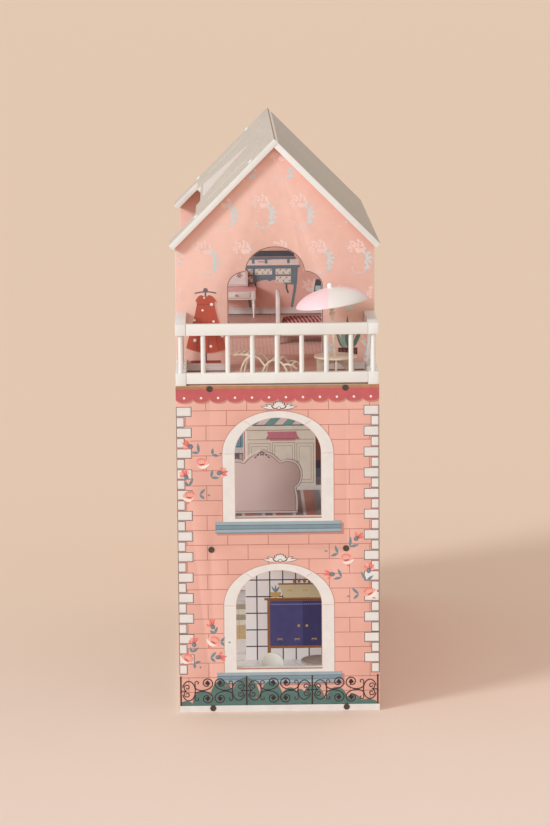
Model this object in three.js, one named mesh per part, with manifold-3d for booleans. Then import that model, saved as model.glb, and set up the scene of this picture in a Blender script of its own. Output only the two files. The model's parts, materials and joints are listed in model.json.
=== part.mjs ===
// A three-storey wooden dollhouse with a balcony at one end, its bolts and its doll furniture.
// Millimetres, +Z up. -Y is the balcony end, -X the open play side.
import * as THREE from "three";
import { mergeVertices } from "three/addons/utils/BufferGeometryUtils.js";
import Module from "manifold-3d";

const wasm = await Module();
wasm.setup();

// ---- driving dimensions ----
const board = 9; // thickness of every house panel
const gap = 0.3; // clearance between pieces that only touch
const houseHalfWidth = 150;
const houseDepth = 750; // from the face of the balcony end wall to the far end wall
const balconyDepth = 134;
const deckTop = 496; // top of the attic floor and of the balcony
const floorTops = [11, 254, deckTop];
const partitionFronts = [265, 418]; // in the two lower storeys
const partitionFreeEdge = -48;

const ridgeHeight = 848;
const roofOverhang = 12; // past the gables, at both ends
const roofSlope = 225; // from the ridge to the eave, down the left panel
const rightPanelStart = board + gap; // the right panel butts under the left one
const eaveInsideHeight = 685;

const window_ = { halfWidth: 63.75, jamb: 95.5, rise: 53.25, bottoms: [68.25, 298.5] };
const door = { halfWidth: 70.5, spring: 625, shoulder: 27, crownHalfWidth: 43.5, crownSpring: 647, crown: 684 };
const cutOut = { start: 64, shoulderSlope: 168, crownSlope: 159, crownStart: 205, corner: 22 };

const bolt = { head: 4.65, proud: 1.2, shank: 3, hole: 3.3, socket: 2.2, inset: 100 };
const roofScrew = { head: 4.2, dome: 2.1, shank: 1.5, hole: 1.8, slopes: [49.5, 166] };

const rail = { side: 15.5, depth: 11, bottomOfTop: 570.5, top: 587, bottomTop: 514.5, underGap: 2.75 };
const baluster = { radius: 3.5, pitch: 36.25, frontCount: 7, sideCount: 4, sideStart: 7.25 };

const parasolLean = THREE.MathUtils.degToRad(4);
const canopyLean = THREE.MathUtils.degToRad(4.5); // on top of the pole's own lean
const gardenTable = { x: 88, y: 60, radius: 32, height: 34, top: 3 };

// ---- finishes ----
const finish = (color, roughness = 0.6, metalness = 0) =>
  new THREE.MeshStandardMaterial({ color, roughness, metalness });
const pinkPaint = finish(0xeaa898);
const salmonPaint = finish(0xeda793);
const roofPaint = finish(0xbfb6a4);
const whitePaint = finish(0xf3ebe4, 0.5);
const floorPrint = finish(0xb98578);
const tilePrint = finish(0xdcd6d6);
const creamPrint = finish(0xe3cdb6);
const bronze = finish(0x5a4e44, 0.35, 0.9);
const paleWood = finish(0xe9d2b4);
const canopyPaint = finish(0xf3dcdc, 0.55);
const mauvePaint = finish(0xb29a96, 0.45);
const burgundyCloth = finish(0x8c3446, 0.95);
const greyWood = finish(0x9d8f86);

// ---- helpers ----
const house = new THREE.Group();
// The model's origin is under the middle of the whole box, roof and bolt heads included.
const frontmost = -bolt.proud;
const rearmost = houseDepth + roofOverhang;
house.position.y = -(frontmost + rearmost) / 2;

function add(name, geometry, material, parent = house) {
  const mesh = new THREE.Mesh(geometry, material);
  mesh.name = name;
  parent.add(mesh);
  return mesh;
}

// A box from its lowest to its highest corner.
function slab(low, high) {
  const [x, y, z] = low.map((v, i) => high[i] - v);
  return new THREE.BoxGeometry(x, y, z).translate(...low.map((v, i) => (v + high[i]) / 2));
}

// An outline drawn in X and Z, standing upright with its front face at y and its back at y + thickness.
function upright(shape, y, thickness, curveSegments = 16) {
  return new THREE.ExtrudeGeometry(shape, { depth: thickness, bevelEnabled: false, curveSegments })
    .rotateX(Math.PI / 2)
    .translate(0, y + thickness, 0);
}

// An outline drawn in X and Y, lying flat from z to z + thickness.
function flat(shape, z, thickness, curveSegments = 16) {
  return new THREE.ExtrudeGeometry(shape, { depth: thickness, bevelEnabled: false, curveSegments })
    .translate(0, 0, z);
}

// A turned piece standing on z = 0: profile points are [radius, height], from the axis and back to it.
function turned(profile, sides = 16) {
  return new THREE.LatheGeometry(profile.map(([r, h]) => new THREE.Vector2(r, h)), sides)
    .rotateX(Math.PI / 2);
}

function rod(radius, from, to, sides = 12) {
  return turned([[0, 0], [radius, 0], [radius, to - from], [0, to - from]], sides).translate(0, 0, from);
}

function solid(geometry) {
  const bare = geometry.index ? geometry.toNonIndexed() : geometry.clone();
  bare.deleteAttribute("normal");
  bare.deleteAttribute("uv");
  const merged = mergeVertices(bare, 1e-4);
  return new wasm.Manifold(new wasm.Mesh({
    numProp: 3,
    vertProperties: merged.attributes.position.array,
    triVerts: new Uint32Array(merged.index.array),
  }));
}

function geometryOf(manifold) {
  const { vertProperties, triVerts } = manifold.getMesh();
  const geometry = new THREE.BufferGeometry();
  geometry.setAttribute("position", new THREE.BufferAttribute(vertProperties, 3));
  geometry.setIndex(new THREE.BufferAttribute(triVerts, 1));
  return geometry;
}

const joined = (...geometries) => geometryOf(geometries.map(solid).reduce((a, b) => a.add(b)));
const carved = (body, ...cuts) => geometryOf(cuts.map(solid).reduce((a, b) => a.subtract(b), solid(body)));

function roundHole(x, y, radius) {
  return new THREE.Path().absarc(x, y, radius, 0, 2 * Math.PI, true);
}

function rectangle(x0, y0, x1, y1) {
  return new THREE.Shape([[x0, y0], [x1, y0], [x1, y1], [x0, y1]].map((p) => new THREE.Vector2(...p)));
}

// ---- the end walls ----
function windowHole(bottom) {
  const { halfWidth, jamb, rise } = window_;
  const hole = new THREE.Path().moveTo(-halfWidth, bottom);
  hole.lineTo(-halfWidth, bottom + jamb);
  hole.absellipse(0, bottom + jamb, halfWidth, rise, Math.PI, 0, true);
  hole.lineTo(halfWidth, bottom);
  hole.closePath();
  return hole;
}

const boltSpots = floorTops.flatMap((top) => [-bolt.inset, bolt.inset].map((x) => [x, top - board / 2]));

function makeEndWalls() {
  const near = rectangle(-houseHalfWidth, 0, houseHalfWidth, deckTop);
  near.holes.push(...window_.bottoms.map(windowHole));
  near.holes.push(...boltSpots.map(([x, z]) => roundHole(x, z, bolt.hole)));
  add("balcony_end_wall", upright(near, 0, board, 12), pinkPaint);
  const far = rectangle(-houseHalfWidth, 0, houseHalfWidth, deckTop);
  add("far_end_wall", upright(far, houseDepth - board, board), pinkPaint);
}

// A bolt head is a low disc with a socket; its shank passes through the wall to the floor's edge.
function makeBolts() {
  const { head, proud, shank, socket } = bolt;
  const length = board - gap;
  const profile = [
    [0, -length], [shank, -length], [shank, 0], [head, 0], [head, proud * 0.6],
    [head - 0.5, proud], [socket, proud], [socket, proud * 0.3], [0, proud * 0.3],
  ];
  const levels = ["ground", "middle", "deck"];
  boltSpots.forEach(([x, z], i) => {
    const side = x < 0 ? "left" : "right";
    const piece = add(`bolt_${levels[Math.floor(i / 2)]}_${side}`, turned(profile, 18), bronze);
    piece.rotation.x = Math.PI / 2;
    piece.position.set(x, 0, z);
  });
}

// ---- floors, back panels and partitions ----
function makeFloors() {
  const insideEnd = houseDepth - board;
  const right = houseHalfWidth - board;
  const names = ["ground_floor_panel", "middle_floor_panel", "attic_floor_panel"];
  floorTops.forEach((top, i) => {
    add(names[i], slab([-houseHalfWidth, board, top - board], [right, insideEnd, top]), floorPrint);
  });
  add("back_panel", slab([right, board, 0], [houseHalfWidth, insideEnd, deckTop]), pinkPaint);
  add("attic_back_panel",
    slab([right, balconyDepth + board, deckTop], [houseHalfWidth, insideEnd, eaveInsideHeight]), salmonPaint);
  partitionFronts.forEach((front, i) => {
    const low = [partitionFreeEdge, front, floorTops[i]];
    const high = [right, front + board, floorTops[i + 1] - board];
    add(["ground_partition", "middle_partition"][i], slab(low, high), [tilePrint, creamPrint][i]);
  });
}

// ---- attic gables ----
function gableOutline() {
  const peak = eaveInsideHeight + houseHalfWidth;
  const outline = [[-houseHalfWidth, deckTop], [houseHalfWidth, deckTop], [houseHalfWidth, eaveInsideHeight],
    [0, peak], [-houseHalfWidth, eaveInsideHeight]];
  return new THREE.Shape(outline.map((p) => new THREE.Vector2(...p)));
}

// The door is a clover: two shoulder arcs and a taller crown between them, open at the floor.
function doorwayGable() {
  const { halfWidth, spring, shoulder, crownHalfWidth, crownSpring, crown } = door;
  const shape = new THREE.Shape().moveTo(-houseHalfWidth, deckTop);
  shape.lineTo(-halfWidth, deckTop);
  shape.lineTo(-halfWidth, spring);
  const shoulderCentre = halfWidth - shoulder;
  shape.absellipse(-shoulderCentre, spring, shoulder, crownSpring - spring, Math.PI, Math.PI / 2, true);
  shape.absellipse(0, crownSpring, crownHalfWidth, crown - crownSpring, Math.PI, 0, true);
  shape.absellipse(shoulderCentre, spring, shoulder, crownSpring - spring, Math.PI / 2, 0, true);
  shape.lineTo(halfWidth, deckTop);
  shape.lineTo(houseHalfWidth, deckTop);
  shape.lineTo(houseHalfWidth, eaveInsideHeight);
  shape.lineTo(0, eaveInsideHeight + houseHalfWidth);
  shape.lineTo(-houseHalfWidth, eaveInsideHeight);
  shape.closePath();
  return shape;
}

function makeGables() {
  add("attic_door_gable", upright(doorwayGable(), balconyDepth, board), salmonPaint);
  add("attic_far_gable", upright(gableOutline(), houseDepth - board, board), salmonPaint);
}

// ---- roof: drawn as distance down the slope and distance along the house ----
const roofStart = balconyDepth - roofOverhang;
const roofLength = houseDepth + roofOverhang - roofStart;
const half = Math.SQRT1_2;

// Turns a flat roof piece, drawn from the ridge with its outer face at 0 and its body behind, onto the left slope.
const leftSlope = new THREE.Matrix4().makeBasis(
  new THREE.Vector3(-half, 0, -half), new THREE.Vector3(0, 1, 0), new THREE.Vector3(half, 0, -half),
).setPosition(0, roofStart, ridgeHeight);

// The same for the right slope, drawn with its inner face at 0.
const rightSlope = new THREE.Matrix4().makeBasis(
  new THREE.Vector3(half, 0, -half), new THREE.Vector3(0, 1, 0), new THREE.Vector3(half, 0, half),
).setPosition(-board * half, roofStart, ridgeHeight - board * half);

const screwAlong = [roofOverhang + board / 2, roofLength - roofOverhang - board / 2];
const screwSpots = roofScrew.slopes.flatMap((slope) => screwAlong.map((along) => [slope, along]));

// The play opening is cut up from the eave: square legs, round shoulders and a slightly higher middle.
function leftRoofOutline() {
  const { start, shoulderSlope, crownSlope, crownStart, corner } = cutOut;
  const end = roofLength - start;
  const crownEnd = roofLength - crownStart;
  const step = shoulderSlope - crownSlope;
  const shape = new THREE.Shape().moveTo(0, 0);
  shape.lineTo(roofSlope, 0);
  shape.lineTo(roofSlope, start);
  shape.lineTo(shoulderSlope + corner, start);
  shape.absarc(shoulderSlope + corner, start + corner, corner, -Math.PI / 2, Math.PI, true);
  shape.lineTo(shoulderSlope, crownStart - step);
  shape.quadraticCurveTo(crownSlope, crownStart - step, crownSlope, crownStart + step);
  shape.lineTo(crownSlope, crownEnd - step);
  shape.quadraticCurveTo(crownSlope, crownEnd + step, shoulderSlope, crownEnd + step);
  shape.lineTo(shoulderSlope, end - corner);
  shape.absarc(shoulderSlope + corner, end - corner, corner, Math.PI, Math.PI / 2, true);
  shape.lineTo(roofSlope, end);
  shape.lineTo(roofSlope, roofLength);
  shape.lineTo(0, roofLength);
  shape.closePath();
  shape.holes.push(...screwSpots.map(([u, v]) => roundHole(u, v, roofScrew.hole)));
  return shape;
}

function makeRoof() {
  add("roof_left_panel", flat(leftRoofOutline(), 0, board, 10).applyMatrix4(leftSlope), roofPaint);
  const right = rectangle(rightPanelStart, 0, roofSlope, roofLength);
  add("roof_right_panel", flat(right, 0, board).applyMatrix4(rightSlope), roofPaint);
}

function makeRoofScrews() {
  const { head, dome, shank } = roofScrew;
  const profile = [[0, -(board - gap)], [shank, -(board - gap)], [shank, 0], [head, 0],
    [head * 0.9, dome * 0.5], [head * 0.6, dome * 0.88], [0, dome]];
  screwSpots.forEach(([slope, along], i) => {
    const end = i % 2 ? "far" : "near";
    const height = i < 2 ? "upper" : "lower";
    const outwards = turned(profile, 12).rotateX(Math.PI).translate(slope, along, 0);
    add(`roof_screw_${end}_${height}`, outwards.applyMatrix4(leftSlope), whitePaint);
  });
}

// ---- balcony railing ----
function makeRailing() {
  const outer = houseHalfWidth - 0.5;
  const inner = outer - rail.side;
  for (const [side, x0, x1] of [["left", -outer, -inner], ["right", inner, outer]]) {
    add(`rail_${side}_top`, slab([x0, 0, rail.bottomOfTop], [x1, balconyDepth, rail.top]), whitePaint);
    add(`rail_${side}_bottom`, slab([x0, 0, deckTop], [x1, balconyDepth, rail.bottomTop]), whitePaint);
  }
  const x = inner - gap;
  add("rail_front_top", slab([-x, 0.5, rail.bottomOfTop], [x, 0.5 + rail.depth, rail.top]), whitePaint);
  const low = deckTop + rail.underGap;
  add("rail_front_bottom", slab([-x, 0.5, low], [x, 0.5 + rail.depth, rail.bottomTop]), whitePaint);
  const post = () => rod(baluster.radius, rail.bottomTop + gap, rail.bottomOfTop - gap);
  for (let i = 0; i < baluster.frontCount; i++) {
    const offset = (i - (baluster.frontCount - 1) / 2) * baluster.pitch;
    add(`baluster_front_${i + 1}`, post(), whitePaint).position.set(offset, 0.5 + rail.depth / 2, 0);
  }
  for (const [side, sign] of [["left", -1], ["right", 1]]) {
    for (let i = 0; i < baluster.sideCount; i++) {
      const y = baluster.sideStart + i * baluster.pitch;
      const x = sign * (outer - rail.side / 2);
      add(`baluster_${side}_${i + 1}`, post(), whitePaint).position.set(x, y, 0);
    }
  }
}

// ---- balcony furniture ----
function makeGardenTable() {
  const { x, y, radius, height, top } = gardenTable;
  const place = new THREE.Group();
  place.position.set(x, y, deckTop + gap);
  house.add(place);
  const disc = new THREE.Shape().absarc(0, 0, radius, 0, 2 * Math.PI);
  disc.holes.push(roundHole(0, 0, 3.4));
  add("garden_table_top", flat(disc, height - top, top, 18), paleWood, place);
  // Two arched boards cross under the top.
  const reach = radius - 4;
  const leg = new THREE.Shape().moveTo(-reach, 0);
  leg.lineTo(-reach + 11, 0);
  leg.absellipse(0, 0, reach - 11, height - top - 8, Math.PI, 0, true);
  leg.lineTo(reach, 0);
  leg.lineTo(reach, height - top - gap);
  leg.lineTo(-reach, height - top - gap);
  leg.closePath();
  const board1 = upright(leg, -1.5, 3, 10);
  add("garden_table_legs", joined(board1, board1.clone().rotateZ(Math.PI / 2)), paleWood, place);
}

// The pole stands in the table's hole and leans a little; its upper part is turned.
function makeParasol() {
  const { x, y, height, top } = gardenTable;
  const place = new THREE.Group();
  place.position.set(x, y, deckTop + gap + height - top + gap);
  place.rotation.y = -parasolLean;
  house.add(place);
  const pole = [[0, 0], [2.4, 0], [2.4, 62], [4, 64.5], [4.4, 67], [2.8, 69], [4.2, 73.5], [2.8, 76], [4.6, 79],
    [4.6, 87], [3.4, 89], [3.4, 92], [2, 93], [2, 101], [0, 101]];
  add("parasol_pole", turned(pole, 14), paleWood, place);
  // An open dome, 1.6 mm thick, with a hub that sits over the pole's peg and a round finial.
  const rim = 54.5;
  const rise = 23;
  const arc = (t, inset) => [(rim - inset * 0.6) * Math.cos(t), (rise - inset) * Math.sin(t)];
  const steps = [0, 0.14, 0.3, 0.47, 0.64, 0.8, 0.95];
  const outside = steps.map((f) => arc(f * Math.PI / 2, 0));
  const inside = steps.slice(0, -1).map((f) => arc(f * Math.PI / 2, 1.6)).reverse();
  const canopy = new THREE.Group();
  // The hub stays over the peg when the canopy leans.
  canopy.position.set(17.5 * Math.sin(canopyLean), 0, 81.5);
  canopy.rotation.y = -canopyLean;
  place.add(canopy);
  const profile = [[0, 20.2], [2.8, 20.2], [2.8, 14.5], [4.2, 14.5], [4.4, rise - 2], ...inside, ...outside,
    [3.3, rise + 0.3], [3.6, rise + 2.5], [3.2, rise + 5], [1.9, rise + 6.5], [0, rise + 7]];
  add("parasol_canopy", turned(profile, 32), canopyPaint, canopy);
}

// Two side frames of thin bent strip with slats between them: a raised back end, a round arch and a footrest.
function makeLounger() {
  const strip = 2.6;
  const halfDepth = 18;
  // A strip of constant thickness that follows a line of [x, z] points.
  const bent = (points) => {
    const edge = (side) => points.map(([x, z], i) => {
      const [x0, z0] = points[Math.max(0, i - 1)];
      const [x1, z1] = points[Math.min(points.length - 1, i + 1)];
      const length = Math.hypot(x1 - x0, z1 - z0);
      return new THREE.Vector2(x - (z1 - z0) / length * side, z + (x1 - x0) / length * side);
    });
    return upright(new THREE.Shape([...edge(-strip / 2), ...edge(strip / 2).reverse()]), 0, strip);
  };
  const arch = (centre, width, height, start, end, steps) => bent(Array.from({ length: steps + 1 }, (_, i) => {
    const angle = start + (end - start) * i / steps;
    return [centre + width * Math.cos(angle), strip / 2 + height * Math.sin(angle)];
  }));
  const side = [
    arch(17, 20.5, 31.5, Math.PI, 0, 12),
    arch(-16, 20, 37, Math.PI, Math.PI / 2, 7),
    bent([[-46, 38.5], [-38, 39.6], [-26, 39.4], [-14, 38], [-7, 34.8], [0, 26], [2, 23]]),
    bent([[29, 26], [36, 26.6], [44, 25.4], [50, 19.5]]),
  ];
  const far = side.map((piece) => piece.clone().translate(0, 2 * halfDepth - strip, 0));
  const slats = [-44, -36, -28, -20].map((x) => slab([x, 0, 39.2], [x + 5, 2 * halfDepth, 41.2]));
  const ties = [[13, 31.5], [21, 31.5], [40, 24]].map(([x, z]) => slab([x, 0, z], [x + 4, 2 * halfDepth, z + 2]));
  const lounger = joined(...side, ...far, ...slats, ...ties).translate(0, -halfDepth, 0);
  const placed = add("garden_lounger", lounger, paleWood);
  placed.position.set(-16, 50, deckTop + gap);
  placed.rotation.z = -THREE.MathUtils.degToRad(12);
}

// ---- attic furniture ----
function makeVanity() {
  const place = new THREE.Group();
  place.position.set(-57, 700, deckTop + gap);
  house.add(place);
  const halfWidth = 35;
  const depth = 36;
  const legTop = 31;
  const leg = turned([[0, 0], [1.6, 0], [1.4, 3], [2.9, 22], [2, 24], [2.9, 26], [2.9, legTop + 1],
    [0, legTop + 1]], 10);
  const legSpots = [-1, 1].flatMap((sx) => [4, depth - 4].map((y) => [sx * (halfWidth - 4), y]));
  const legs = legSpots.map(([x, y]) => leg.clone().translate(x, y, 0));
  const apron = carved(slab([-halfWidth + 1, 1, legTop], [halfWidth - 1, depth, 47]),
    slab([-25, -1, legTop + 2], [25, depth - 3, 45]));
  const top = slab([-halfWidth, 0, 46.5], [halfWidth, depth, 50]);
  add("vanity_table", joined(apron, top, ...legs), whitePaint, place);
  // The drawer is an open tray with a round knob.
  const tray = carved(slab([-24.6, 0, legTop + 2.4], [24.6, depth - 4, 44.6]),
    slab([-22.6, 2.5, legTop + 4], [22.6, depth - 6, 50]));
  const knob = turned([[0, 0], [1.2, 0], [1.2, 1.6], [2.2, 2.6], [2.2, 3.4], [0, 4.4]], 10)
    .rotateX(Math.PI / 2).translate(0, 0.3, legTop + 8.5);
  add("vanity_drawer", joined(tray, knob), whitePaint, place);
  // The mirror stands on the table's back edge.
  const arched = new THREE.Shape().moveTo(-21.5, 50 + gap);
  arched.lineTo(-21.5, 72);
  arched.absellipse(0, 72, 21.5, 12, Math.PI, 0, true);
  arched.lineTo(21.5, 50 + gap);
  arched.closePath();
  add("vanity_mirror", upright(arched, depth - 8, 4, 12), whitePaint, place);
}

// Head and foot boards with a shelf between them; the head is towards the open side.
function makeBed() {
  const place = new THREE.Group();
  place.position.set(7, 402, deckTop + gap);
  house.add(place);
  const width = 76;
  const endBoard = (height, arch) => {
    const shape = new THREE.Shape().moveTo(0, 0);
    shape.lineTo(8, 0);
    shape.lineTo(8, 8);
    shape.lineTo(width - 8, 8);
    shape.lineTo(width - 8, 0);
    shape.lineTo(width, 0);
    shape.lineTo(width, height);
    shape.absellipse(width / 2, height, width / 2, arch, 0, Math.PI, false);
    shape.closePath();
    return upright(shape, 0, 6, 12).rotateZ(Math.PI / 2).translate(6, 0, 0);
  };
  add("bed_headboard", endBoard(60, 22), whitePaint, place);
  add("bed_footboard", endBoard(40, 12), whitePaint, place).position.x = 120;
  add("bed_base", slab([6 + gap, 2, 13], [120 - gap, width - 2, 21]), whitePaint, place);
  add("mattress", slab([8, 3, 21 + gap], [118, width - 3, 36]), burgundyCloth, place);
}

// ---- middle storey: sofa with a shaped back board ----
function sofaBackOutline() {
  const shape = new THREE.Shape().moveTo(-55, 0);
  shape.quadraticCurveTo(-58, 20, -53, 40);
  shape.bezierCurveTo(-70, 50, -66, 87, -40, 86);
  shape.quadraticCurveTo(-34, 86, -29, 83);
  shape.quadraticCurveTo(-18, 96, -9, 97);
  shape.quadraticCurveTo(0, 107, 9, 97);
  shape.quadraticCurveTo(18, 96, 29, 83);
  shape.quadraticCurveTo(34, 86, 40, 86);
  shape.bezierCurveTo(66, 87, 70, 50, 53, 40);
  shape.quadraticCurveTo(58, 20, 55, 0);
  shape.closePath();
  return shape;
}

function makeSofa() {
  const place = new THREE.Group();
  place.position.set(-20.5, 236, floorTops[1] + gap);
  house.add(place);
  add("sofa_back", upright(sofaBackOutline(), 0, 6, 8), mauvePaint, place);
  const arm = (x) => slab([x, 6 + gap, 0], [x + 10, 46, 40]);
  const seat = slab([-50, 6 + gap, 0], [50, 46, 26]);
  add("sofa_seat", joined(seat, arm(-54), arm(44)), mauvePaint, place);
}

// ---- ground storey: dining table and a chair with a round back ----
function makeDiningSet() {
  const floor = floorTops[0] + gap;
  const table = turned([[0, 0], [18, 0], [18, 3], [6, 6], [4, 12], [4, 38], [8, 45], [31, 45.5], [31, 49],
    [0, 49]], 36);
  add("dining_table", table, greyWood).position.set(65, 74, floor);
  const back = new THREE.Shape().moveTo(-18, 0);
  back.lineTo(18, 0);
  back.lineTo(18, 51);
  back.absarc(0, 51, 18, 0, Math.PI, false);
  back.closePath();
  const seat = slab([-18, 4, 26], [18, 32, 30]);
  const front = slab([-18, 28, 0], [18, 32, 27]);
  add("round_back_chair", joined(upright(back, 0, 5, 12), seat, front), whitePaint)
    .position.set(-10, 40, floor);
}

makeEndWalls();
makeBolts();
makeFloors();
makeGables();
makeRoof();
makeRoofScrews();
makeRailing();
makeGardenTable();
makeParasol();
makeLounger();
makeVanity();
makeBed();
makeSofa();
makeDiningSet();

export default house;
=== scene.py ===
# %% [markdown]
# # A wooden dollhouse
# The house is a tall box of printed boards with a pitched roof, a railed balcony and loose doll
# furniture. Its boards and joints come from the CAD model, which is loaded first as a fixed frame.
# This lesson gives each board its cut edges and its print, and each small piece its finish.

# %% Load the fixed frame
import json
import math

import bmesh
import bpy
from mathutils import Matrix, Vector


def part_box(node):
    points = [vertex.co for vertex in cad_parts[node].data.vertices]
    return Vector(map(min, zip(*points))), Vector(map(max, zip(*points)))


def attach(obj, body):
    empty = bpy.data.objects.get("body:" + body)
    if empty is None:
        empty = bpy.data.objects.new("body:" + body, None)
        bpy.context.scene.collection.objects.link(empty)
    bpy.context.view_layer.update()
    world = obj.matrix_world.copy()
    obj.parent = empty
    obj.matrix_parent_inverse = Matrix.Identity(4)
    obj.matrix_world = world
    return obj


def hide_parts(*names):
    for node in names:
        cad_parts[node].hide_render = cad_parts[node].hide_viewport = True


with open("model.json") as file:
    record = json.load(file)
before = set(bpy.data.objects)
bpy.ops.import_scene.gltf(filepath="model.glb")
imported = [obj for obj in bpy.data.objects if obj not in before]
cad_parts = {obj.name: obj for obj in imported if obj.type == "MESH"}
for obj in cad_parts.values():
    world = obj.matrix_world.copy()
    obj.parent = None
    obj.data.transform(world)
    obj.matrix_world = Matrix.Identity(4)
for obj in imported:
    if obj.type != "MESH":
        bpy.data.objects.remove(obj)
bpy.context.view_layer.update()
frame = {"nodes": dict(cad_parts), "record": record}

# %% [markdown]
# Everything below is drawn in millimetres and multiplied by MM when it becomes a mesh. The walls'
# places are read from the frame, so the artwork always lands on its board.

# %% Sizes read from the frame
MM = 0.001
end_wall_low, end_wall_high = [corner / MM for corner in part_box("balcony_end_wall")]
HALF_WIDTH = end_wall_high.x
FRONT = end_wall_low.y
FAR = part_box("far_end_wall")[1].y / MM
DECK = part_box("attic_floor_panel")[1].z / MM
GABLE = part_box("attic_door_gable")[0].y / MM
print("the house is", round(2 * HALF_WIDTH), "wide and", round(FAR - FRONT), "long; its deck is at",
      round(DECK))

# %% [markdown]
# The camera stands a little to the open side, above the roof's eaves, and looks slightly down. A
# long lens from nearly five metres keeps the walls' edges almost parallel.

# %% Camera
CAMERA_PLACE = Vector((-0.08025, -4.7804, 1.22475))
YAW, PITCH, ROLL = map(math.radians, (0.995, 9.918, 0.467))

level = Vector((math.cos(YAW), -math.sin(YAW), 0))
forward = Vector((math.sin(YAW) * math.cos(PITCH), math.cos(YAW) * math.cos(PITCH), -math.sin(PITCH)))
upright = level.cross(forward)
camera_x = math.cos(ROLL) * level - math.sin(ROLL) * upright
camera_y = math.sin(ROLL) * level + math.cos(ROLL) * upright

lens = bpy.data.cameras.new("camera")
lens.lens = 132.32
lens.sensor_width = 36
camera = bpy.data.objects.new("camera", lens)
turn = Matrix((camera_x, camera_y, -forward)).transposed()
camera.matrix_world = Matrix.Translation(CAMERA_PLACE) @ turn.to_4x4()
bpy.context.scene.collection.objects.link(camera)
bpy.context.scene.camera = camera
print("camera looks along", [round(v, 3) for v in forward])

# %% [markdown]
# Node trees get long when every node is placed by hand. Two small classes keep them readable. Wire
# wraps a socket so that a formula such as `1 - mask * 2` adds its own Math nodes. Nodes adds any
# other node in one call: its type, its settings, and the values or links of its sockets.

# %% Wires: sockets that take part in arithmetic
class Wire:
    def __init__(self, nodes, socket):
        self.nodes = nodes
        self.socket = socket

    def output(self, name):
        return Wire(self.nodes, self.socket.node.outputs[name])

    def math(self, operation, *others):
        return self.nodes.math(operation, self, *others)

    def __add__(self, other):
        return self.math("ADD", other)

    def __radd__(self, other):
        return self.nodes.math("ADD", other, self)

    def __sub__(self, other):
        return self.math("SUBTRACT", other)

    def __rsub__(self, other):
        return self.nodes.math("SUBTRACT", other, self)

    def __mul__(self, other):
        return self.math("MULTIPLY", other)

    def __rmul__(self, other):
        return self.nodes.math("MULTIPLY", other, self)

    def __truediv__(self, other):
        return self.math("DIVIDE", other)

    def __mod__(self, other):
        return self.math("FLOORED_MODULO", other)

    def __gt__(self, other):
        return self.math("GREATER_THAN", other)

    def __lt__(self, other):
        return self.math("LESS_THAN", other)


class Nodes:
    def __init__(self, tree):
        self.tree = tree

    def plug(self, socket, value):
        if isinstance(value, Wire):
            self.tree.links.new(value.socket, socket)
        else:
            socket.default_value = value

    def node(self, kind, settings=None, inputs=None, output=0):
        made = self.tree.nodes.new(kind)
        for name, value in (settings or {}).items():
            setattr(made, name, value)
        for key, value in (inputs or {}).items():
            self.plug(made.inputs[key], value)
        return Wire(self, made.outputs[output])

    def math(self, operation, *values):
        return self.node("ShaderNodeMath", {"operation": operation}, dict(enumerate(values)))


print("sockets can be added, multiplied and compared; nodes are placed in one call")

# %% [markdown]
# A colour is named here as it should look on a screen, from 0 to 255. A surface only reflects a
# share of the light that reaches it, on a linear scale, so each colour is converted once, and divided
# by the studio's light, which is slightly warm. A finish is a Principled shader whose colour wanders
# a little, as ink and paint do, and whose surface has a faint texture.

# %% Colours and finishes
STUDIO_LIGHT = (1.03, 0.94, 0.90)


def tone(*levels):
    """The reflectance that looks like these red, green and blue levels under the studio's light."""
    def linear(level):
        level /= 255
        return level / 12.92 if level <= 0.04045 else ((level + 0.055) / 1.055) ** 2.4

    return tuple(min(0.95, linear(level) / light) for level, light in zip(levels, STUDIO_LIGHT)) + (1.0,)


def scaled(colour, light):
    return tuple(min(1.0, channel * light) for channel in colour[:3]) + (1.0,)


class Finish(Nodes):
    def __init__(self, name, roughness=0.5, fixed=None):
        self.material = bpy.data.materials.new(name)
        self.material.use_nodes = True
        super().__init__(self.material.node_tree)
        self.shader = self.tree.nodes["Principled BSDF"]
        self.shader.inputs["Roughness"].default_value = roughness
        for socket, value in (fixed or {}).items():
            self.shader.inputs[socket].default_value = value
        place = self.node("ShaderNodeTexCoord", output="Object")
        self.place = self.node("ShaderNodeVectorMath", {"operation": "SCALE"}, {0: place, "Scale": 1 / MM})

    def axes(self):
        parts = self.node("ShaderNodeSeparateXYZ", inputs={0: self.place})
        return parts, parts.output("Y"), parts.output("Z")

    def stretched(self, x, y, z):
        return self.node("ShaderNodeVectorMath", {"operation": "MULTIPLY"}, {0: self.place, 1: (x, y, z)})

    def noise(self, size, detail=3, vector=None):
        inputs = {"Vector": vector or self.place, "Scale": 1 / size, "Detail": detail}
        return self.node("ShaderNodeTexNoise", inputs=inputs)

    def mix(self, mask, low, high):
        return self.node("ShaderNodeMix", {"data_type": "RGBA"}, {0: mask, 6: low, 7: high}, output=2)

    def ramp(self, value, start, end):
        inputs = {"Value": value, "From Min": start, "From Max": end}
        return self.node("ShaderNodeMapRange", inputs=inputs)

    def coat(self, colour, mottle=0.05, size=14):
        """The colour, wandering a little lighter and darker."""
        wander = self.ramp(self.noise(size, 4), 0.3, 0.7)
        return self.mix(wander, scaled(colour, 1 - mottle), scaled(colour, 1 + mottle))

    def paint(self, colour):
        self.plug(self.shader.inputs["Base Color"], colour)
        return self

    def rough(self, value):
        self.plug(self.shader.inputs["Roughness"], value)
        return self

    def emboss(self, height, depth):
        inputs = {"Height": height, "Distance": depth * MM}
        self.plug(self.shader.inputs["Normal"], self.node("ShaderNodeBump", inputs=inputs))
        return self


def ink(name, colour, mottle=0.04, roughness=0.46):
    """Printing ink on paper-faced board: satin, with the faint tooth of the paper."""
    finish = Finish(name, roughness)
    finish.paint(finish.coat(colour, mottle))
    return finish.emboss(finish.noise(0.7, 2), 0.012).material


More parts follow.
